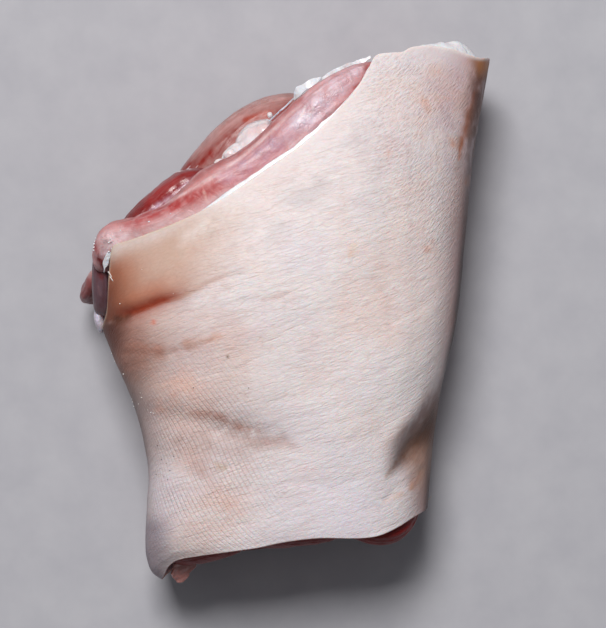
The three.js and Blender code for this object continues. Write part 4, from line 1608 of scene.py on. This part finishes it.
@dataclass
class SlantingCut(Face):
    """The wide end: fat, muscles and membranes that bulge out round the knuckle."""

    end: End = End.CUT

    def build(self) -> None:
        """Models every piece of the cut."""
        self.lips()
        self.inside()
        self.tissue(PaleFinish("white fat").material())

    def lips(self) -> None:
        """The upper lip, the roll below it and the muscles at the left end."""
        film = FleshFinish("flesh under its film", 0.5, 0.45, 0.0013, 0.42, 0.06).material()
        smooth_film = FleshFinish("smooth flesh", 0.7, 0.1, 0.0004, 0.36, 0.1).material()
        dark = FleshFinish("dark flesh", 1.1, 0.15, 0.0006, 0.34, 0.25).material()
        Muscle("lip_muscle", self.path(
            (-70.5, 51, 4.7), (-67.5, 57, 4.4), (-62.5, 60, 2.6), (-54, 61, -0.3), (-41, 63, -1.8),
            (-24, 64, 1), (-9, 64, -1.3), (10, 64, 1.3), (24, 64, 3), (37, 63, 0.8), (51, 59, -4.8)),
            15.5, 9.5, 3.1, 0.7, 3, 128, 240,
            swell=Profile([(0, 0.62), (0.06, 0.8), (0.12, 0.95), (0.2, 1.03), (0.3, 1), (1, 1)]),
            grooves=((58, 9, 0.7), (28, 7, 0.5)), colour=(214, 162, 162), strokes=LIP_STROKES_AND_GLINTS, wet=LIP_WET
        ).build(film)
        Muscle("roll_muscle", self.path(
            (-48, 20, -3), (-34, 20, 0.3), (-22, 20, 2.4), (-6, 20, 4.7), (4, 20, 5), (14, 20, 3),
            (25, 20, -4)), 14.5, 11, 2.2, 0.3, 5, 110, 140,
            colour=(168, 122, 116), strokes=ROLL_STROKES, mottle=((184, 140, 134), 0.3), wet=ROLL_WET
        ).build(smooth_film)
        Muscle("dark_muscle", self.path(
            (-68, 36, 0), (-54, 38, 3), (-42, 38, 4.5), (-32, 40, 5.5), (-20, 40, 1)), 13, 8.5, 2.3, 0.7, 8,
            colour=(142, 36, 34), strokes=DARK_STROKES, mottle=((112, 22, 24), 0.5), wet=DARK_WET
        ).build(dark)
        Muscle("side_muscle", spots((101.5, 250, 54), (103.5, 270, 50), (104.5, 290, 45), (104, 309, 39)),
               9, 4.3, 2.8, 0.2, 9, colour=(112, 84, 92), strokes=SIDE_STROKES,
               mottle=((132, 104, 112), 0.4)).build(smooth_film)
        Muscle("nub", spots((107, 262, 41), (96, 275, 37), (91.5, 286, 32), (91, 290, 25), (92, 293, 18),
                            (99, 297, 12), (109, 300, 9)), 4.8, 2.9, 2.0, 0.6, 10,
               taper=0.1, colour=(156, 96, 96), strokes=NUB_STROKES,
               swell=Profile([(0, 0.8), (0.45, 1.15), (0.6, 1.1), (1, 0.8)])).build(smooth_film)

    def inside(self) -> None:
        """The muscles behind the lip and under it."""
        flesh = FleshFinish("wet flesh").material()
        plain, pale = ((214, 170, 168), 0.3), (206, 160, 160)
        for name, path, *sizes, colour, mottle in (
                ("inner_muscle", ((18, 40, -6), (42, 38, -5), (68, 38, -8)), 19, 9, 2.3, 0.7, 12,
                 (168, 80, 76), plain),
                ("under_muscle", ((16, 15, -5), (42, 15, -4), (64, 19, -7)), 12, 8, 2.3, 0.7, 14,
                 (176, 92, 88), plain),
                ("end_muscle", ((40, 50, -6.5), (58, 43, -5.5), (76, 30, -7)), 15, 8, 2.3, 0.9, 16,
                 (158, 72, 68), (pale, 0.4)),
                ("cleft_floor", ((-62, 40, -8), (0, 42, -8), (62, 40, -8)), 26, 8, 2.8, 1.0, 15,
                 (136, 48, 46), (pale, 0.5))):
            Muscle(name, self.path(*path), *sizes, colour=colour, mottle=mottle).build(flesh)

    def tissue(self, fat: Material) -> None:
        """The fat rim, the slip of fat with its flake, the membranes, the fat at the corner and a bead.

        Args:
            fat: the finish of fat and membranes.
        """
        FatRing(self.leg, "fat_rim", self.end, 1.9,
                lambda a: 1.3 + 0.5 * np.sin(a * 3 + 1) + 2.5 * smooth(0.3, 0.2, np.abs(a - 0.66)),
                lambda a: 0.3 + 1.0 * smooth(1.3, 1.42, a) * smooth(1.88, 1.74, a)
                + (1.3 + 4.2 * smooth(0.62, 0.33, a)) * smooth(0.24, 0.28, a) * smooth(0.78, 0.64, a)
                * (0.88 + 0.3 * grain(np.column_stack([a * 26, 0 * a]), 8)), ragged=0.5,
                colour=(244, 245, 248), blush=(232, 214, 216)).build(fat)
        Muscle("fat_slip", self.path((12, 21, -2), (21, 23, 4.5), (31, 26, 4.2), (46, 37, 0), (56, 41, -6)),
               6.5, 3.6, 2.3, 0.6, 17, colour=FAT_WHITE, mottle=((226, 196, 196), 0.4)).build(fat, "fat")
        for name, path, widths, side, *rest in (
                ("fat_flake", ((294, 100, 35), (299, 91, 37.5), (309, 84.5, 38.5), (321, 77.5, 37)),
                 ((0, 0.3), (0.28, 1.7), (0.45, 1.3), (0.75, 1.4), (1, 0.2)),
                 (0.5, -0.85, 0.15), 0.5, 0.12, 5, (236, 237, 243)),
                ("fat_edge", ((322, 79, 41), (332, 74.5, 42), (346, 68, 44), (360, 62, 46), (371, 57, 46)),
                 ((0, 0.5), (0.2, 1.3), (0.6, 1.1), (1, 0.4)), (0.4, -0.9, 0.1), 0.7, 0.3, 6, FAT_WHITE),
                ("cleft_membrane", ((270, 121, 48), (278, 113, 50), (286, 106, 49), (293, 99, 44)),
                 ((0, 0.5), (0.3, 1.2), (0.7, 1.0), (1, 0.5)), (0.75, 0.6, 0.2), 0.5, 0.3, 7,
                 (214, 216, 230)),
                ("left_membrane", ((113, 247, 69), (110.5, 252, 68.7), (107.5, 258, 68), (105, 265, 66.5),
                                   (104, 272, 65)),
                 ((0, 0.5), (0.35, 1.05), (0.65, 0.8), (1, 0.3)), (1.0, 0.15, -0.2), 0.5, 0.45, 8,
                 (240, 240, 246))):
            Ribbon(name, spots(*path), Profile(widths), side, *rest).build(fat)
        Muscle("corner_fat", spots((100.5, 306, 44), (99.5, 315, 41), (101.5, 328, 36)),
               5, 1.7, 2.4, 0.3, 18, 32, 32, colour=(212, 206, 222), mottle=((226, 214, 220), 0.3)
               ).build(fat, "fat")
        Muscle("bead", spots((267.5, 116, 48), (272.5, 114.5, 48)), 1.2, 1.1, 2.0, 0.1, 19, 20, 20,
               colour=(236, 234, 238)).build(fat, "fat")


@dataclass
class SawnFace(Face):
    """The narrow end: thin fat, muscles round the sawn bone, and a loose flap."""

    end: End = End.SAWN

    def build(self) -> None:
        """Models every piece of the face."""
        flesh = FleshFinish("sawn flesh", 1.3, 0.06, 0.0004, 0.45, 0.0).material()
        fat = PaleFinish("thin fat", 0.4).material()
        # Painted shade: the sawn fat is dark red-brown, as the sawn end faces away from the light.
        FatRing(self.leg, "sawn_fat", self.end, 1.6, lambda a: 1.4 + 0.8 * np.sin(a * 2 + 0.5),
                lambda a: -0.2 + 0 * a, depth=3.0, ragged=0.4, seed=66, colour=(150, 92, 84),
                blush=(110, 40, 38)).build(fat)
        red, pale = (128, 30, 28), ((160, 64, 58), 0.4)
        bodies = (
            ("sawn_floor", ((-38, 34, -3.4), (0, 34, -3.4), (38, 34, -3.4)), (30, 3.2)),
            ("shin_muscle", ((-42, 36, -3.4), (-31, 46, -2.2), (-16, 53, -2.4)), (11, 5.5)),
            ("crown_muscle", ((-14, 55, -3.4), (2, 56, -2.6), (17, 54, -2.2)), (9.5, 5.5)),
            ("heel_muscle", ((20, 50, -2), (33, 45, 0.4), (43, 34, -2)), (11, 5.2)),
            ("sole_muscle", ((-32, 17, -1.8), (-8, 13, -0.8), (14, 12, -1.2), (32, 18, -1.8)), (9.5, 5)),
        )
        for seed, (name, path, size) in enumerate(bodies, 31):
            Muscle(name, self.path(*path), *size, 2.5, 0.6, seed, colour=red, mottle=pale).build(flesh)
        Ribbon("loose_flap", spots((185, 560, 46), (183, 569, 44), (181, 580, 41)),
               Profile([(0, 4.6), (0.5, 4.0), (0.85, 2.4), (1, 0.9)]), (0.97, 0.2, -0.15), 1.4, 1.0, 36,
               (176, 124, 118)).build(fat)


@dataclass(frozen=True)
class Fringe:
    """Loose things that lie on a piece at marks of the drawing: crumbs, or hairs where they have a length."""

    name: str
    host: str
    places: tuple[tuple[float, float], ...]
    size: float = 0.3
    length: float = 0.0
    turn: float = 0.0
    colour: tuple[float, float, float] = (244, 238, 232)
    seed: int = 71
    steep: float = 0.05
    handicap: float = 50.0

    def build(self, material: Material) -> Object:
        """Sets each thing on the host's surface, away from steep and hidden places, and joins them.

        Args:
            material: its finish.

        Returns:
            The things as one piece.
        """
        host = bpy.data.objects[self.host]
        drawn = marks(corners(host) / MM + np.array([*PLAN_CENTRE, 0.0]))
        facing = corners(host, "normal")
        hidden = self.handicap * (facing[:, 2] < self.steep)
        draw = np.random.default_rng(self.seed)
        made = []
        for place in self.places:
            nearest = int(np.argmin(np.hypot(*(drawn - place).T) + hidden))
            size = self.size * draw.uniform(0.6, 1.3) * MM
            at = corners(host)[nearest] + facing[nearest] * size * 0.4
            heading = math.radians(self.turn + draw.uniform(-25, 25))
            bpy.ops.object.select_all(action="DESELECT")
            if self.length:
                long = self.length * draw.uniform(0.6, 1.2) * MM
                lie = (math.pi / 2, 0.0, heading + math.pi / 2)
                bpy.ops.mesh.primitive_cone_add(vertices=6, radius1=size, radius2=size * 0.4, depth=long,
                                                location=at, rotation=lie)
            else:
                bpy.ops.mesh.primitive_ico_sphere_add(subdivisions=2, radius=size, location=at,
                                                      rotation=(0.0, 0.3, heading), scale=(1.3, 0.8, 0.7))
            made.append(bpy.context.object)
        bpy.ops.object.select_all(action="DESELECT")
        for thing in made:
            thing.select_set(True)
        bpy.context.view_layer.objects.active = made[0]
        bpy.ops.object.join()
        bpy.ops.object.transform_apply(location=True, rotation=True, scale=True)
        piece = bpy.context.object
        piece.name = self.name
        points = corners(piece) / MM
        unwrap(piece, points[:, 0], points[:, 1])
        tint(piece, np.tile(linear(self.colour), (len(points), 1)))
        return finished(piece, "hock", material)


FRINGE = (
    Fringe("crumbs", "rind", ((142.7, 269.4), (119.6, 303.7), (174, 293), (215, 505), (139, 404), (142, 397),
                              (141, 393), (151, 412), (154, 413), (148, 410), (140, 423), (133, 402),
                              (134, 406), (132, 399), (124, 374), (113, 362), (110, 354)), 0.2),
    Fringe("pores", "rind", ((158, 446), (163, 452), (161, 459), (167, 463), (160, 468), (170, 471),
                             (164, 477), (168, 480), (156, 474), (173, 456), (194, 388), (249, 388)), 0.16,
           colour=(60, 40, 34), seed=72),
    Fringe("hairs", "rind", ((111, 277), (473, 157), (430, 500), (294, 77), (299, 79)), 0.1, 3.0, 60.0,
           (190, 160, 136), 73),
    Fringe("threads", "rind", ((110.5, 276), (112.5, 280)), 0.2, 3.4, -58.0, (240, 226, 218), 74),
    Fringe("foam", "lip_muscle", ((94, 238), (93.6, 241), (93.8, 244), (94.2, 247), (94.6, 250), (110, 240),
                                  (111, 249), (109, 251.5), (112, 252), (110.5, 254), (108, 243), (104, 236),
                                  (120, 231), (149, 222), (171, 214)), 0.26, colour=(250, 248, 250), seed=75),
    Fringe("strands", "dark_muscle", ((186, 168), (190, 165), (195, 163), (178, 168), (176, 171), (181, 165)),
           0.16, 3.2, 24.0, (226, 206, 208), 76),
)


@dataclass
class Shank:
    """The bones: a thick and a slim shaft, and the knuckle in the slanting cut."""

    gristle: tuple[tuple[float, float, float], ...] = ((-14, 58.6, 40), (-21, 52.5, 41))
    slant: float = 0.26
    hollow_scale: float = 60.0
    marrow_depth: float = 2.5
    marrow_face: float = 3e-4
    marrow_share: float = 0.62

    def build(self) -> None:
        """Models the knuckle's heads and the shafts with their sawn ends."""
        gristle = PaleFinish("gristle", 0.22, 0.0003, 300.0, 0.7).material()
        bone = PaleFinish("bone", 0.45, 0.0004, 500.0, 0.2).material()
        marrow = PaleFinish("marrow", 0.4, 0.0012, 650.0, 0.3).material()
        for name, centre, size in (("knuckle_head", self.gristle[0], (10.8, 11, 10.5)),
                                   ("knuckle_heel", self.gristle[1], (9, 9.2, 9.5)),
                                   ("knuckle_lump", (-26.2, 56.8, 46.5), (2.6, 2.2, 2.6)),
                                   ("knuckle_lobe", (-29.8, 54.2, 46), (2.0, 1.8, 2.2))):
            self.head(name, np.array(centre, dtype=float), size).build(gristle, "bone", "bone")
        self.shaft("thick_shaft", (-6, -81.6, 34), (-13, 48, 39), (10.5, 9.5), bone, marrow)
        self.shaft("slim_shaft", (11, -81.6, 29), (-3, 42, 36), (6.6, 6), bone, marrow)

    @staticmethod
    def head(name: str, centre: Array, size: tuple[float, float, float]) -> Muscle:
        """A round head of the knuckle, under its gristle.

        Args:
            name: the piece's name.
            centre: its middle.
            size: half its size across, along and up, in millimetres.

        Returns:
            The body, not yet built.
        """
        path = np.array([centre - [size[0], 0, 0], centre, centre + [size[0], 0, 0]])
        return Muscle(name, path, size[2], size[1], 2.0, 1.5, 51, 96, 96, 0.02, colour=(238, 228, 230),
                      mottle=((224, 182, 180), 0.45))

    def shaft(self, name: str, start: tuple[float, float, float], end: tuple[float, float, float],
              size: tuple[float, float], bone: Material, marrow: Material) -> None:
        """A shaft with its sawn end: a hard wall round the marrow.

        Args:
            name: the piece's name.
            start: the middle of its sawn end.
            end: the middle of its other end, inside the leg.
            size: half its width and half its height.
            bone: the finish of the wall.
            marrow: the finish of what is inside.
        """
        first, last = np.array(start, dtype=float), np.array(end, dtype=float)
        length = np.linalg.norm(last - first)
        piece = added(name, bpy.ops.mesh.primitive_cylinder_add, vertices=64, radius=1.0, depth=2.0,
                      end_fill_type="NGON")
        with editing(piece):
            bpy.ops.mesh.select_all(action="DESELECT")
        for face in piece.data.polygons:
            face.select = face.normal.z < -0.5
        bpy.ops.object.mode_set(mode="EDIT")
        for inset, deeper in ((0.06, 0.0), (0.26, 0.006), (0.05, 0.02), (0.3, 0.0)):
            bpy.ops.mesh.inset(thickness=inset)
            if deeper:
                bpy.ops.transform.translate(value=(0, 0, deeper))
        bpy.ops.object.mode_set(mode="OBJECT")
        tube = corners(piece)
        heading = unit(last - first)
        across = unit(np.cross(heading, UP))
        rise = np.cross(across, heading)
        level = (tube[:, 2] + 1) / 2
        points = (first + heading * (level * length)[:, None] + across * (tube[:, 0] * size[0])[:, None]
                  + rise * (tube[:, 1] * size[1])[:, None])
        sawn = tube[:, 2] < -0.9
        hollow = (tube[sawn, 2] + 1) * self.hollow_scale
        points[sawn, 1] = first[1] + self.slant * (points[sawn, 0] - first[0]) + hollow
        move_corners(piece, to_frame(points))
        radius = np.hypot(tube[:, 0], tube[:, 1])
        unwrap(piece, np.arctan2(tube[:, 1], tube[:, 0]) * size[0], level * length, math.tau * size[0])
        inner = (sawn * smooth(0.68, 0.6, radius))[:, None]
        tint(piece, np.array(linear((236, 218, 206))) * (1 - inner) + np.array(linear((150, 76, 66))) * inner)
        finished(piece, "bone", bone)
        piece.data.materials.append(marrow)
        mouth = to_frame(first)
        for face in piece.data.polygons:
            away = np.array(face.center) - mouth
            face.material_index = int(away[1] < self.marrow_depth * MM and face.area < self.marrow_face
                                      and math.hypot(away[0], away[2]) < self.marrow_share * size[0] * MM)


# ---- The room ----


@dataclass(frozen=True)
class Lamp:
    """A square soft light: its side in metres and its power in watts."""

    name: str
    place: tuple[float, float, float]
    side: float
    power: float
    colour: tuple[float, float, float]
    aim: tuple[float, float, float] = (0.0, 0.0, 0.03)

    def build(self) -> None:
        """Hangs the light, turned to its aim."""
        lamp = bpy.data.lights.new(self.name, "AREA")
        lamp.size = self.side
        lamp.energy = self.power
        lamp.color = self.colour
        holder = bpy.data.objects.new(self.name, lamp)
        holder.location = self.place
        away = np.array(self.place, dtype=float) - np.array(self.aim, dtype=float)
        holder.rotation_euler = (math.acos(away[2] / np.linalg.norm(away)), 0.0,
                                 math.atan2(away[1], away[0]) + math.pi / 2)
        bpy.context.collection.objects.link(holder)


@dataclass
class Studio:
    """Pale floor, soft light from above and behind, and the camera straight above."""

    camera_height: float = 0.9
    optical_centre: tuple[float, float] = (0.0072, 0.0022)
    view_width: float = 0.21816
    view_level: float = 0.04
    sensor: float = 36.0
    floor_side: float = 4.0
    room_colour: tuple[float, float, float, float] = (0.9, 0.92, 1.0, 1.0)
    room_strength: float = 0.07
    lamps: tuple[Lamp, ...] = (
        Lamp("key", (-0.2, 0.82, 1.66), 0.6, 32.0, (1.0, 0.99, 0.985)),
        Lamp("fill", (0.0, -0.05, 1.3), 1.1, 1.6, (0.94, 0.97, 1.0)),
    )

    def build(self) -> None:
        """Sets up floor, lights and camera."""
        floor = added("floor", bpy.ops.mesh.primitive_plane_add, size=self.floor_side, location=(0, 0, 0))
        n = Nodes("floor")
        speckle = n.noise(n.places(), 60.0, 3.0, 0.6)
        n.link(n.blend(n.ramp(speckle, 0.3, 0.7, 0.0, 1.0), (176, 175, 181), (184, 183, 188)),
               n.shader.inputs["Base Color"])
        n.set(Roughness=0.8)
        floor.data.materials.append(n.material)
        for lamp in self.lamps:
            lamp.build()
        bpy.context.scene.view_settings.view_transform = "Standard"
        world = bpy.data.worlds.new("room")
        bpy.context.scene.world = world
        world.use_nodes = True
        light = world.node_tree.nodes["Background"].inputs
        light["Color"].default_value = self.room_colour
        light["Strength"].default_value = self.room_strength
        lens = bpy.data.cameras.new("camera")
        lens.sensor_fit = "HORIZONTAL"
        lens.sensor_width = self.sensor
        lens.lens = self.sensor * (self.camera_height - self.view_level) / self.view_width
        lens.clip_start = 0.01
        camera = bpy.data.objects.new("camera", lens)
        camera.location = (*self.optical_centre, self.camera_height)
        bpy.context.collection.objects.link(camera)
        bpy.context.scene.camera = camera


def main() -> None:
    """Builds the hock and its room, and notes the sizes."""
    logging.basicConfig(level=logging.INFO, format="%(name)s: %(message)s")
    leg = Leg()
    Studio().build()
    Rind(leg).build(RindFinish().material())
    SlantingCut(leg).build()
    SawnFace(leg).build()
    Shank().build()
    scraps = PaleFinish("scraps", 0.35, 0.0001, 900.0, 0.5).material()
    for fringe in FRINGE:
        fringe.build(scraps)


if __name__ == "__main__":
    main()
